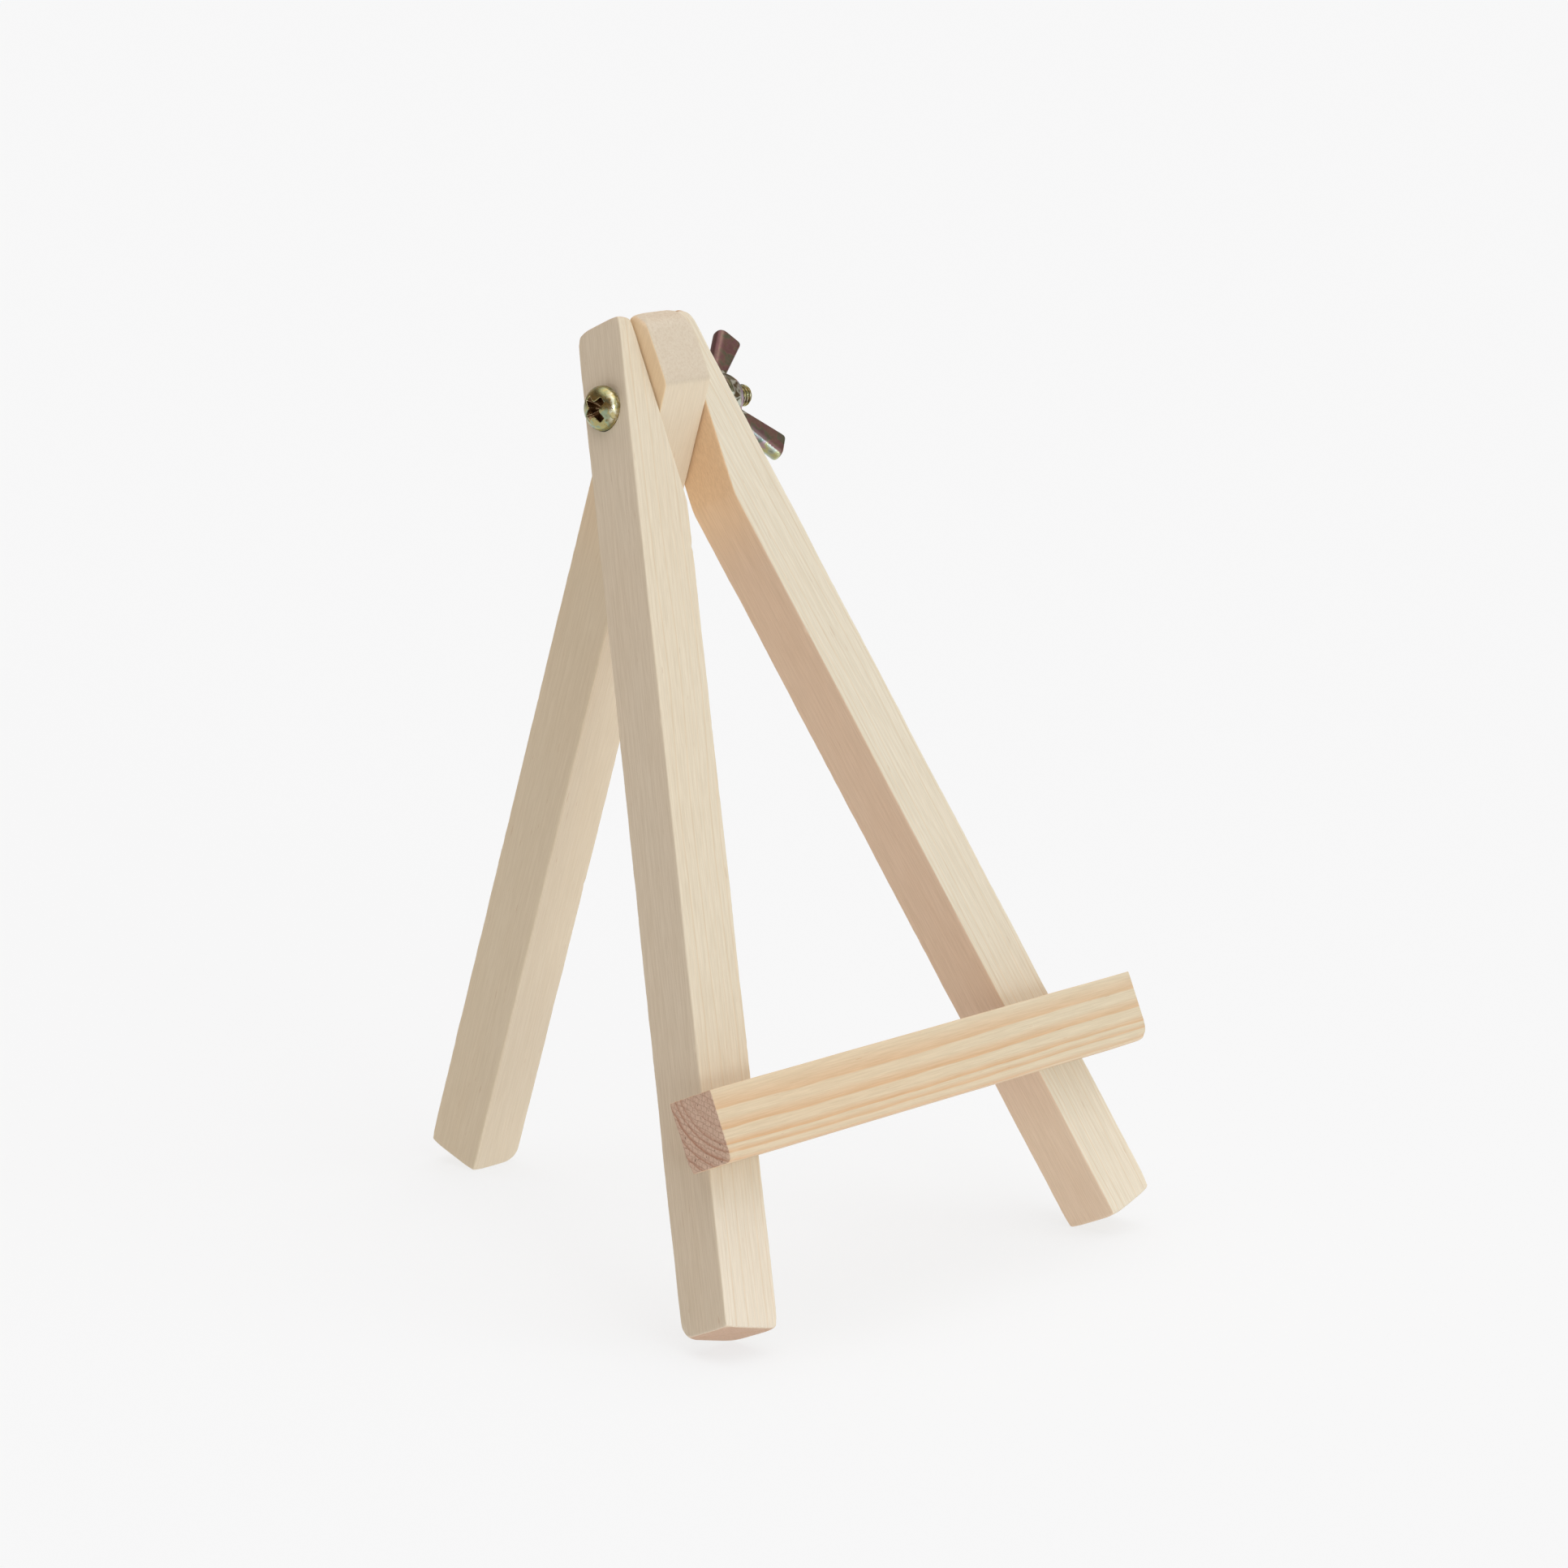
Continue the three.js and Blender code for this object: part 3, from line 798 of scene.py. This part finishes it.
def make_brad(name, side):
    """A round wire brad, pointed at one end, with a small head that is slightly domed."""
    radius, length, point, ease, dome, flat = 0.6, 16.0, 1.2, 0.15, 0.03, 0.5
    return lathe(name, [
        (-length, 0), (-length + point, radius), (-BRAD_SET - BRAD_HEAD_THICK, radius),
        (-BRAD_SET - (BRAD_HEAD_THICK - 0.1), BRAD_HEAD_RADIUS),
        (-BRAD_SET - 0.1, BRAD_HEAD_RADIUS), (-BRAD_SET, BRAD_HEAD_RADIUS - ease),
        (-BRAD_SET + dome, flat), (-BRAD_SET + dome, 0),
    ], brad_space(side), 40)


# ---------------------------------------------------------------- materials

# Cells of noise in a millimetre: across the grain twice, and along it.
FIBRE_CELLS = (3.6, 3.6, 0.10)
HAIR_CELLS = (9.0, 9.0, 0.28)
CLOUD_CELLS = (0.09, 0.09, 0.02)
SPECK_CELLS = (3.0, 3.0, 0.26)
PORE_CELLS = (2.4, 2.4, 2.4)
DRIFT_CELLS = (0.03, 0.03, 0.014)
JITTER_CELLS = (0.5, 0.5, 0.09)
PIT_CELLS = (1.5, 1.5, 0.2)


def wood_material(name, look):
    """Wood as a solid: growth rings round a pith, fibres along the stick and grain across its ends.

    look holds the colours and their shares; seed moves the noise; pith is where the rings have
    their middle; ring_faces is the way the faces look that show the rings as close lines; the
    painted light and shade factors are each a direction, a colour that the faces turned that way
    are multiplied by, making them lighter or darker as light falls on them, and the heights where
    it starts and is full."""
    material = bpy.data.materials.new(name)
    material.use_nodes = True
    g = Graph(material.node_tree)
    coordinates = g.add("ShaderNodeTexCoord")
    own = g.scaled(coordinates.outputs["Object"], 1 / MM, 1 / MM, 1 / MM)
    facing = coordinates.outputs["Normal"]
    point = g.vector("ADD", own, look["seed"])
    distance = from_pith(g, own, point, look)
    rings = look["rings"](g, distance)
    on_ring_face = g.math("ABSOLUTE", g.vector("DOT_PRODUCT", facing, look["ring_faces"]))
    ring_share = g.step(g.step(on_ring_face, 0.5, 0.9), 0, 1, look["flat_share"], 1.0)
    late = g.math("MULTIPLY", rings, ring_share)

    fibre = g.noise(g.scaled(point, *FIBRE_CELLS), detail=3.0, rough=0.6)
    hair = g.noise(g.scaled(point, *HAIR_CELLS))
    cloud = g.noise(g.scaled(point, *CLOUD_CELLS))
    speck = g.noise(g.scaled(point, *SPECK_CELLS), detail=1.0)
    fleck = g.step(speck, 0.75, 0.80)

    colour = g.mix(g.math("MULTIPLY", late, look["late_share"]), look["early"], look["late"])
    colour = g.mix(g.step(cloud, 0.35, 0.7, 0.0, look["cloud_share"]), colour, look["cloud"])
    fibred = shaded(g, colour, fibre, 0.32, 0.68, (0.935, 0.915, 0.885), (1.035, 1.035, 1.035))
    fibred = shaded(g, fibred, hair, 0.30, 0.70, (0.955, 0.945, 0.93), (1.03, 1.03, 1.03))
    colour = g.mix(look["fibre_share"], colour, fibred)
    colour = g.mix(g.math("MULTIPLY", fleck, look["fleck_share"]), colour, look["fleck"])

    square = g.math("ABSOLUTE", g.vector("DOT_PRODUCT", facing, (0, 0, 1)))
    end = g.step(square, 0.3, 0.85)
    pores = g.noise(g.scaled(point, *PORE_CELLS), detail=3.0, rough=0.7)
    thin_rings = g.math("POWER", rings, 2.0)
    end_rings = g.math("MULTIPLY", thin_rings, g.step(distance, *look["end_rings"]))
    end_colour = g.mix(end_rings, look["end_early"], look["end_late"])
    end_colour = look["end_marks"](g, point, end_colour, pores)
    dark_end = g.mix(1.0, end_colour, look["end_shade"], "MULTIPLY")
    end_colour = g.mix(g.step(square, 0.85, 0.98), end_colour, dark_end)
    colour = g.mix(g.math("MULTIPLY", end, look["end_share"]), colour, end_colour)

    # Paler long edges, by the edge mark: partly rubbed wear, partly a painted highlight where light
    # catches the rounded edges.
    edge = g.add("ShaderNodeAttribute", attribute_name="edge").outputs["Fac"]
    colour = g.mix(g.math("MULTIPLY", edge, look["edge_wear_and_highlight_share"]), colour, look["edge"])
    # Painted light and shade: faces turned each given way are made lighter or darker, over a range
    # of heights, as light falls on them.
    for direction, tint, low, high in look["light_and_shade_tints"]:
        share = g.step(g.vector("DOT_PRODUCT", facing, Vector(direction).normalized()), 0.5, 0.9)
        height = g.vector("DOT_PRODUCT", own, (0, 0, 1))
        share = g.math("MULTIPLY", share, g.step(height, low, high))
        colour = g.mix(share, colour, g.mix(1.0, colour, (*tint, 1.0), "MULTIPLY"))

    height = g.math("ADD", g.math("MULTIPLY", fibre, 0.6), g.math("MULTIPLY", hair, 0.35))
    height = g.math("ADD", height, g.math("MULTIPLY", late, -0.12))
    height = g.math("ADD", height, g.math("MULTIPLY", g.math("MULTIPLY", pores, end), 0.9))
    bump = g.add("ShaderNodeBump", {"Height": height, "Strength": 0.5, "Distance": 0.0001})
    rough = g.step(fibre, 0.3, 0.7, 0.68, 0.56)
    shader = g.add("ShaderNodeBsdfPrincipled", {
        "Base Color": colour, "Roughness": rough, "Normal": bump.outputs[0],
        "Specular IOR Level": 0.35,
    })
    g.add("ShaderNodeOutputMaterial", {"Surface": shader.outputs[0]})
    return material


def from_pith(g, own, point, look):
    """The distance of a point from the middle of the tree, with the trunk's bends and waves."""
    bent = own
    for cells, detail, width in (
        (DRIFT_CELLS, 1.0, look["drift"]), (JITTER_CELLS, 2.0, look["jitter"]),
    ):
        sway = g.noise(g.scaled(point, *cells), detail=detail, output="Color")
        sway = g.scaled(g.vector("SUBTRACT", sway, (0.5, 0.5, 0.5)), width, width, 0)
        bent = g.vector("ADD", bent, sway)
    return g.vector("LENGTH", g.scaled(g.vector("SUBTRACT", bent, look["pith"]), 1, 1, 0))


def shaded(g, colour, value, low, high, dark, light):
    """The colour multiplied by dark where value is low and by light where it is high."""
    tone = g.ramp(value, [(low, (*dark, 1)), (high, (*light, 1))])
    return g.mix(1.0, colour, tone, "MULTIPLY")


def fine_rings(spacing):
    """Close thin lines, each a little stronger or weaker than the last."""
    def rings(g, distance):
        count = g.math("DIVIDE", distance, spacing)
        share = g.math("FRACT", count)
        number = g.math("FLOOR", count)
        chance = g.add("ShaderNodeTexWhiteNoise", {"W": number}, noise_dimensions="1D")
        strength = chance.outputs["Value"]
        band = g.math("MULTIPLY", g.step(share, 0.45, 0.93), g.step(share, 1.0, 0.94))
        return g.math("MULTIPLY", band, g.step(strength, 0.0, 1.0, 0.2, 1.0))
    return rings


def placed_rings(bands, reach):
    """Rings at chosen distances from the pith, each darkening slowly and ending sharply."""
    sharp = 0.16

    def rings(g, distance):
        pale = (0, 0, 0, 1)
        stops = []
        for radius, strength, slow in bands:
            tone = (strength, strength, strength, 1)
            bounds = ((radius - slow, pale), (radius, tone), (radius + sharp, pale))
            stops += [(place / reach, shade) for place, shade in bounds]
        return g.ramp(g.math("DIVIDE", distance, reach), stops, "LINEAR")
    return rings


def sanded_end(g, point, colour, pores):
    """A sanded cut end: cream dust caught in the pores, and a few darker pits."""
    colour = shaded(g, colour, pores, 0.36, 0.56, (0.93, 0.89, 0.85), (1.02, 1.02, 1.02))
    return g.mix(g.step(pores, 0.60, 0.72, 0.0, 0.7), colour, rgb(248, 238, 220))


def sawn_end(g, point, colour, pores):
    """The crossed scratches of a saw, which leave rows of small blocks, and a few open pores."""
    wander = g.scaled(g.noise(g.scaled(point, 0.6, 0.6, 0.6), output="Color"), 0.7, 0.7, 0.7)
    parts = g.add("ShaderNodeSeparateXYZ", {0: g.vector("ADD", point, wander)})
    x, y = parts.outputs["X"], parts.outputs["Y"]

    def coordinate(a, b, pitch):
        """The number of pitches across the end along the direction (a, b)."""
        return g.math("ADD", g.math("MULTIPLY", x, a / pitch), g.math("MULTIPLY", y, b / pitch))

    def groove(value, width):
        """Dark lines half way between the whole numbers."""
        share = g.math("ABSOLUTE", g.math("SUBTRACT", g.math("FRACT", value), 0.5))
        return g.step(share, width, 0.0)

    rows = coordinate(0.82, 0.57, 0.95)
    offset = g.math("MULTIPLY", g.math("FLOOR", rows), 0.5)
    blocks = g.math("ADD", coordinate(0.5, -0.87, 1.25), offset)
    shifted = g.math("ADD", rows, 0.5)
    grooves = g.math("MAXIMUM", groove(shifted, 0.16), groove(blocks, 0.12))
    colour = shaded(g, colour, pores, 0.34, 0.60, (0.86, 0.82, 0.80), (1.06, 1.06, 1.06))
    colour = g.mix(g.math("MULTIPLY", grooves, 0.5), colour, rgb(160, 122, 102))
    pits = g.step(g.noise(g.scaled(point, *PIT_CELLS), detail=1.0), 0.69, 0.74)
    return g.mix(g.math("MULTIPLY", pits, 0.75), colour, rgb(106, 74, 56))


# Each look's edge colour is that of the paler long edges: partly wear, partly a painted highlight.
PALE = dict(
    early=rgb(231, 218, 196), late=rgb(221, 192, 150), late_share=0.45,
    ring_faces=(0, 1, 0), flat_share=0.12, fibre_share=0.85,
    cloud=rgb(228, 210, 184), cloud_share=0.25, fleck=rgb(196, 160, 124), fleck_share=0.4,
    end_early=rgb(224, 206, 184), end_late=rgb(214, 190, 164), end_rings=(0, 1, 0.0, 0.0),
    end_share=0.85, end_marks=sanded_end, end_shade=(0.713, 0.53, 0.448, 1.0),
    edge=rgb(238, 224, 198), edge_wear_and_highlight_share=0.3, drift=5.0, jitter=0.35,
)
PINE = dict(
    early=rgb(226, 205, 176), late=rgb(219, 172, 128), late_share=0.95,
    ring_faces=(0, 1, 0), flat_share=1.0, fibre_share=0.8,
    cloud=rgb(226, 198, 164), cloud_share=0.3, fleck=rgb(196, 138, 96), fleck_share=0.4,
    end_early=rgb(211, 184, 163), end_late=rgb(170, 114, 84), end_rings=(9.5, 13.5, 0.25, 0.95),
    end_share=1.0, end_marks=sawn_end, end_shade=(0.98, 0.96, 0.95, 1.0),
    edge=rgb(234, 210, 180), edge_wear_and_highlight_share=0.25, drift=1.6, jitter=0.45,
)
FINE_RING_SPACING = 0.85
# For each band, how far its dark side is from the pith, how dark it is and how wide it is.
LEDGE_RINGS = (
    (3.6, 0.5, 1.2), (5.95, 0.75, 2.0), (8.95, 0.95, 1.6), (11.45, 1.0, 1.0), (12.7, 0.95, 0.75),
    (14.3, 1.0, 0.9), (16.0, 0.9, 0.8), (17.7, 0.9, 0.8), (19.4, 0.9, 0.8), (21.2, 0.8, 0.8),
)
LEDGE_RINGS_REACH = 24.0


# Cells of noise in a millimetre, along each axis of a piece.
GRIME_CELLS = (2.2, 2.2, 2.2)
SCRATCH_CELLS = (9.0, 1.2, 3.0)
GRIME_COLOUR = rgb(80, 72, 50)
# The brown that paints shade into the screw head's recess.
RECESS_SHADE_COLOUR = rgb(132, 110, 84)


def zinc_material(name, tones, others, scale, seed, rough=0.24, hub=None, hollow=None):
    """Zinc plate with a yellow passivation: patches of tint, faint scratches and an uneven gloss.

    others holds other tones for the faces turned one way: their direction, the tones and the cosine
    at which they start; they are partly the plate's own colours and partly painted highlights and
    reflections. hub is a radius round the piece's own Z and the tones within it. hollow gives how
    deep the plate lies in a recess, from 0 to 1, and there shade is painted in as a darker brown."""
    ease, swirl_reach, rough_spread = 0.3, 1.8, 0.16
    material = bpy.data.materials.new(name)
    material.use_nodes = True
    g = Graph(material.node_tree)
    coordinates = g.add("ShaderNodeTexCoord")
    own = g.scaled(coordinates.outputs["Object"], 1 / MM, 1 / MM, 1 / MM)
    point = g.vector("ADD", own, seed)
    spread = g.scaled(point, scale, scale, scale)
    swirl = g.scaled(g.noise(spread, output="Color"), *[swirl_reach] * 3)
    patch = g.noise(g.vector("ADD", spread, swirl), detail=1.5)
    colour = tinted(g, patch, tones)
    if hub is not None:
        hub_radius, hub_tones = hub
        reach = g.vector("LENGTH", g.scaled(own, 1, 1, 0))
        inside = g.step(reach, hub_radius + ease, hub_radius)
        colour = g.mix(inside, colour, tinted(g, patch, hub_tones))
    facing = coordinates.outputs["Normal"]
    # Tones by the way a face turns: partly the plate's own colours, partly painted highlights and
    # reflections of the light the faces look towards.
    for direction, other, low in others:
        turned = g.vector("DOT_PRODUCT", facing, Vector(direction).normalized())
        colour = g.mix(g.step(turned, low, low + ease), colour, tinted(g, patch, other))
    grime = g.noise(g.scaled(point, *GRIME_CELLS), detail=4.0, rough=0.7)
    colour = g.mix(g.step(grime, 0.55, 0.8, 0.0, 0.4), colour, GRIME_COLOUR)
    # Painted shade: the plate in the head's recess is darkened to brown, where shade falls.
    if hollow is not None:
        colour = g.mix(hollow(g, own), colour, RECESS_SHADE_COLOUR)
    scratch = g.noise(g.scaled(point, *SCRATCH_CELLS))
    roughness = g.step(grime, 0.35, 0.7, rough, rough + rough_spread)
    height = g.math("ADD", g.math("MULTIPLY", scratch, 0.5), g.math("MULTIPLY", grime, 0.5))
    bump = g.add("ShaderNodeBump", {"Height": height, "Strength": 0.25, "Distance": 0.00006})
    shader = g.add("ShaderNodeBsdfPrincipled", {
        "Base Color": colour, "Metallic": 1.0, "Roughness": roughness, "Normal": bump.outputs[0],
    })
    g.add("ShaderNodeOutputMaterial", {"Surface": shader.outputs[0]})
    return material


def below_dome(g, own):
    """Where a point of the screw lies in the recess, below the dome of its head, from 0 to 1: where
    shade is painted in.
    """
    parts = g.add("ShaderNodeSeparateXYZ", {0: own}).outputs
    x, y, z = parts["X"], parts["Y"], parts["Z"]
    square = g.math("ADD", g.math("MULTIPLY", x, x), g.math("MULTIPLY", y, y))
    share = g.math("DIVIDE", square, HEAD_RADIUS ** 2)
    rise = g.math("SQRT", g.math("SUBTRACT", 1.0, share, clamp=True))
    rise = g.math("MULTIPLY", rise, HEAD_HEIGHT - HEAD_RIM)
    dome = g.math("SUBTRACT", HEAD_SEAT - HEAD_RIM, rise)
    deep = g.step(g.math("SUBTRACT", z, dome), 0.12, 0.3)
    in_reach = g.step(square, 3.4 ** 2, 3.0 ** 2)
    in_head = g.step(z, 1 + HEAD_SEAT, HEAD_SEAT)
    return g.math("MULTIPLY", deep, g.math("MULTIPLY", in_reach, in_head))


def tinted(g, patch, tones):
    """The tones laid out over the patches from the lowest to the highest."""
    lowest, spread = 0.30, 0.42
    places = [lowest + spread * i / (len(tones) - 1) for i in range(len(tones))]
    return g.ramp(patch, list(zip(places, tones)))


def hues(*colours):
    """Tones from screen values of 0 to 255."""
    return tuple(rgb(*colour) for colour in colours)


# The plate's colours, laid over patches. Those laid by the way a face turns are partly painted:
# YELLOW a highlight, SEA and TEAL a reflection of the bright floor; HUB's pale middle tone is a
# painted highlight.
OLIVE = hues((112, 104, 66), (150, 152, 112), (172, 160, 108), (150, 164, 136), (124, 114, 76))
GREEN = hues((150, 168, 124), (176, 184, 140), (190, 180, 122), (146, 160, 120), (120, 122, 84))
YELLOW = hues((190, 184, 150), (212, 208, 182), (190, 176, 124), (150, 146, 108), (202, 198, 170))
SEA = hues((132, 158, 138), (164, 178, 152), (180, 178, 116), (126, 150, 136), (150, 140, 100))
TEAL = hues((140, 160, 152), (184, 196, 186), (196, 202, 156), (190, 172, 188), (136, 158, 154))
PURPLE = hues((122, 106, 90), (128, 96, 96), (130, 106, 96), (110, 110, 92), (119, 96, 96))
DARK = hues((108, 86, 80), (114, 82, 84), (104, 86, 75))
# The hub's pale middle tone is a painted highlight among its olive and brown.
HUB = hues((84, 84, 62), (108, 104, 80), (196, 200, 188), (104, 92, 66), (90, 76, 66))
PINK = hues((168, 130, 134), (184, 146, 104), (168, 140, 166), (136, 154, 140), (176, 138, 110))
WIRE = hues((120, 120, 118), (150, 150, 148), (170, 170, 168))
# The directions of the wings' edges, in the nut's own space.
LOWER_NEAR_EDGE = (0, -0.7, -0.72)
UPPER_NEAR_EDGE = (0, 0.7, -0.72)
FAR_EDGES = (0, 0, 1)


# ---------------------------------------------------------------- the easel

def dress(piece, node, body, material):
    """Gives a piece its material, hangs it on its body's empty and hides the CAD node that it
    stands in for.
    """
    piece.data.materials.clear()
    piece.data.materials.append(material)
    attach(piece, body)
    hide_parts(node)


def build_easel():
    """Makes all the pieces and dresses them."""
    # A nick is its height, the long edge that it is on, how deep it is and how far it reaches.
    # Wear is how deep each corner is worn, at the foot or left end and then at the other end.
    left = front_leg("left_front_leg_wood", -1, 1.0, [
        (137.0, 3, 0.5, 0.9), (104.0, 2, 0.35, 1.2), (71.0, 2, 0.3, 0.8), (47.0, 2, 0.35, 1.0),
    ], (0.25, 1.0, 0.45, 0.45, 0.35, 0.8, 0.45, 0.35), HEAD_SEAT, HEAD_RADIUS)
    right = front_leg("right_front_leg_wood", 1, 2.0, [
        (118.0, 2, 0.5, 0.9), (60.0, 2, 0.3, 1.5), (31.0, 2, 0.3, 1.0),
    ], (0.3, 0.22, 0.5, 0.35, 0.9, 0.3, 0.5, 1.3), WASHER_SEAT, WASHER_RADIUS)
    rear = rear_leg(
        "rear_leg_wood", 3.0, [(-60.0, 2, 0.3, 1.4), (-95.0, 3, 0.3, 1.0)],
        (0.3, 0.3, 0.3, 0.8, 0.9, 0.4, 0.4, 0.7),
    )
    ledge = ledge_bar(
        "ledge_bar_pine", 4.0, [(104.0, 3, 0.8, 2.0), (1.5, 1, 0.5, 1.5)],
        (0, 0, 0, 0, 0, 0.9, 0, 0),
    )

    # Colour factors that paint light and shade onto the faces turned one way: fronts, sides and the
    # rear bevel darker, the feet lighter, the ledge's front cooler towards its right, and a warm
    # glow of bounced light near the fork and near the rear leg's top. Each starts at the first
    # height and is full at the second, in the piece's own space.
    fine = fine_rings(FINE_RING_SPACING)
    everywhere, by_foot, near_fork = (-1000.0, -999.0), (30.0, 16.0), (130.0, 150.0)
    near_top = (-40.0, 5.0)
    front_face, left_face, bevel_face = (0, -1, 0), (-1, 0, 0), (0, -0.5, 0.866)
    dress(left, "left_front_leg", "front_frame", wood_material("left_leg_wood", dict(
        PALE, seed=(31.0, 7.0, 0.0), pith=(-62.0, -6.0, 0.0), rings=fine, light_and_shade_tints=[
            (front_face, (0.912, 0.922, 0.935), *everywhere),
            (front_face, (1.09, 1.10, 1.15), *by_foot),
            (left_face, (0.915, 0.92, 0.925), *everywhere),
        ])))
    dress(right, "right_front_leg", "front_frame", wood_material("right_leg_wood", dict(
        PALE, seed=(5.0, 43.0, 90.0), pith=(60.0, 8.0, 0.0), rings=fine,
        end_shade=(0.853, 0.77, 0.676, 1.0), light_and_shade_tints=[
            (front_face, (0.92, 0.955, 0.995), *everywhere),
            (front_face, (1.08, 1.066, 1.066), *by_foot),
            (left_face, (0.925, 0.80, 0.755), *everywhere),
            (left_face, (1.08, 1.118, 1.125), *by_foot),
            (left_face, (1.17, 1.115, 0.966), *near_fork),
        ])))
    dress(rear, "rear_leg", "rear_leg", wood_material("rear_leg_wood", dict(
        PALE, seed=(77.0, 21.0, 40.0), pith=(-70.0, 10.0, 0.0), rings=fine, late_share=0.12,
        fibre_share=0.55, end_early=rgb(232, 218, 198), end_shade=(1.0, 0.99, 0.97, 1.0), light_and_shade_tints=[
            (left_face, (0.945, 0.935, 0.89), *everywhere),
            (left_face, (1.148, 1.039, 0.931), *near_top),
            (bevel_face, (0.835, 0.835, 0.84), *everywhere),
            (front_face, (0.955, 0.935, 0.92), *everywhere),
        ])))
    dress(ledge, "ledge_bar", "front_frame", wood_material("ledge_pine", dict(
        PINE, seed=(3.0, 11.0, 5.0), pith=(13.8, 14.1, 0.0),
        rings=placed_rings(LEDGE_RINGS, LEDGE_RINGS_REACH), light_and_shade_tints=[
            ((0, 1, 0), (0.93, 0.95, 0.95), *everywhere),
            ((0, 1, 0), (0.985, 1.04, 1.09), 30.0, 100.0),
        ])))

    # Faces of the head turned to the front take a pale yellow and those turned down a sea green:
    # partly the plate's colours, partly a painted highlight in front and a painted reflection of
    # the bright floor below. Faces turned back and up take green.
    head_sides = (
        ((-1.0, 0.1, 0), YELLOW, 0.45), ((0.2, -1.0, 0), SEA, 0.45), ((0.9, 0.5, 0), GREEN, 0.45),
    )
    # The screw's plate is painted a darker brown in the recess of its head, as shade.
    screw_plate = zinc_material(
        "yellow_zinc_screw", OLIVE, head_sides, 0.5, (2.0, 5.0, 1.0), 0.16, hollow=below_dome,
    )
    # The near edges turned down, on the lower wing and the hub's lower side, take light teal:
    # partly the plate's colour, partly a painted highlight and reflection of the bright floor. The
    # upper near edges are painted darker and the far edges pink.
    nut_sides = ((LOWER_NEAR_EDGE, TEAL, 0.5), (UPPER_NEAR_EDGE, DARK, 0.4), (FAR_EDGES, PINK, 0.2))
    nut_plate = zinc_material(
        "yellow_zinc_nut", PURPLE, nut_sides, 0.3, (9.0, 1.0, 4.0), 0.34,
        hub=(HUB_BASE_RADIUS + 0.1, HUB),
    )
    washer_plate = zinc_material("yellow_zinc_washer", OLIVE, (), 0.3, (4.0, 2.0, 7.0))
    wire = zinc_material("brad_wire", WIRE, (), 0.8, (1.0, 1.0, 1.0), 0.3)
    dress(make_screw(), "pivot_screw", "front_frame", screw_plate)
    dress(make_washer(), "flat_washer", "washer", washer_plate)
    dress(make_wing_nut(), "wing_nut", "wing_nut", nut_plate)
    for name, side in (("left_brad", -1), ("right_brad", 1)):
        dress(make_brad(f"{name}_wire", side), name, "front_frame", wire)


bpy.context.scene.view_settings.view_transform = "Standard"
make_camera()
make_world()
make_floor()
build_easel()
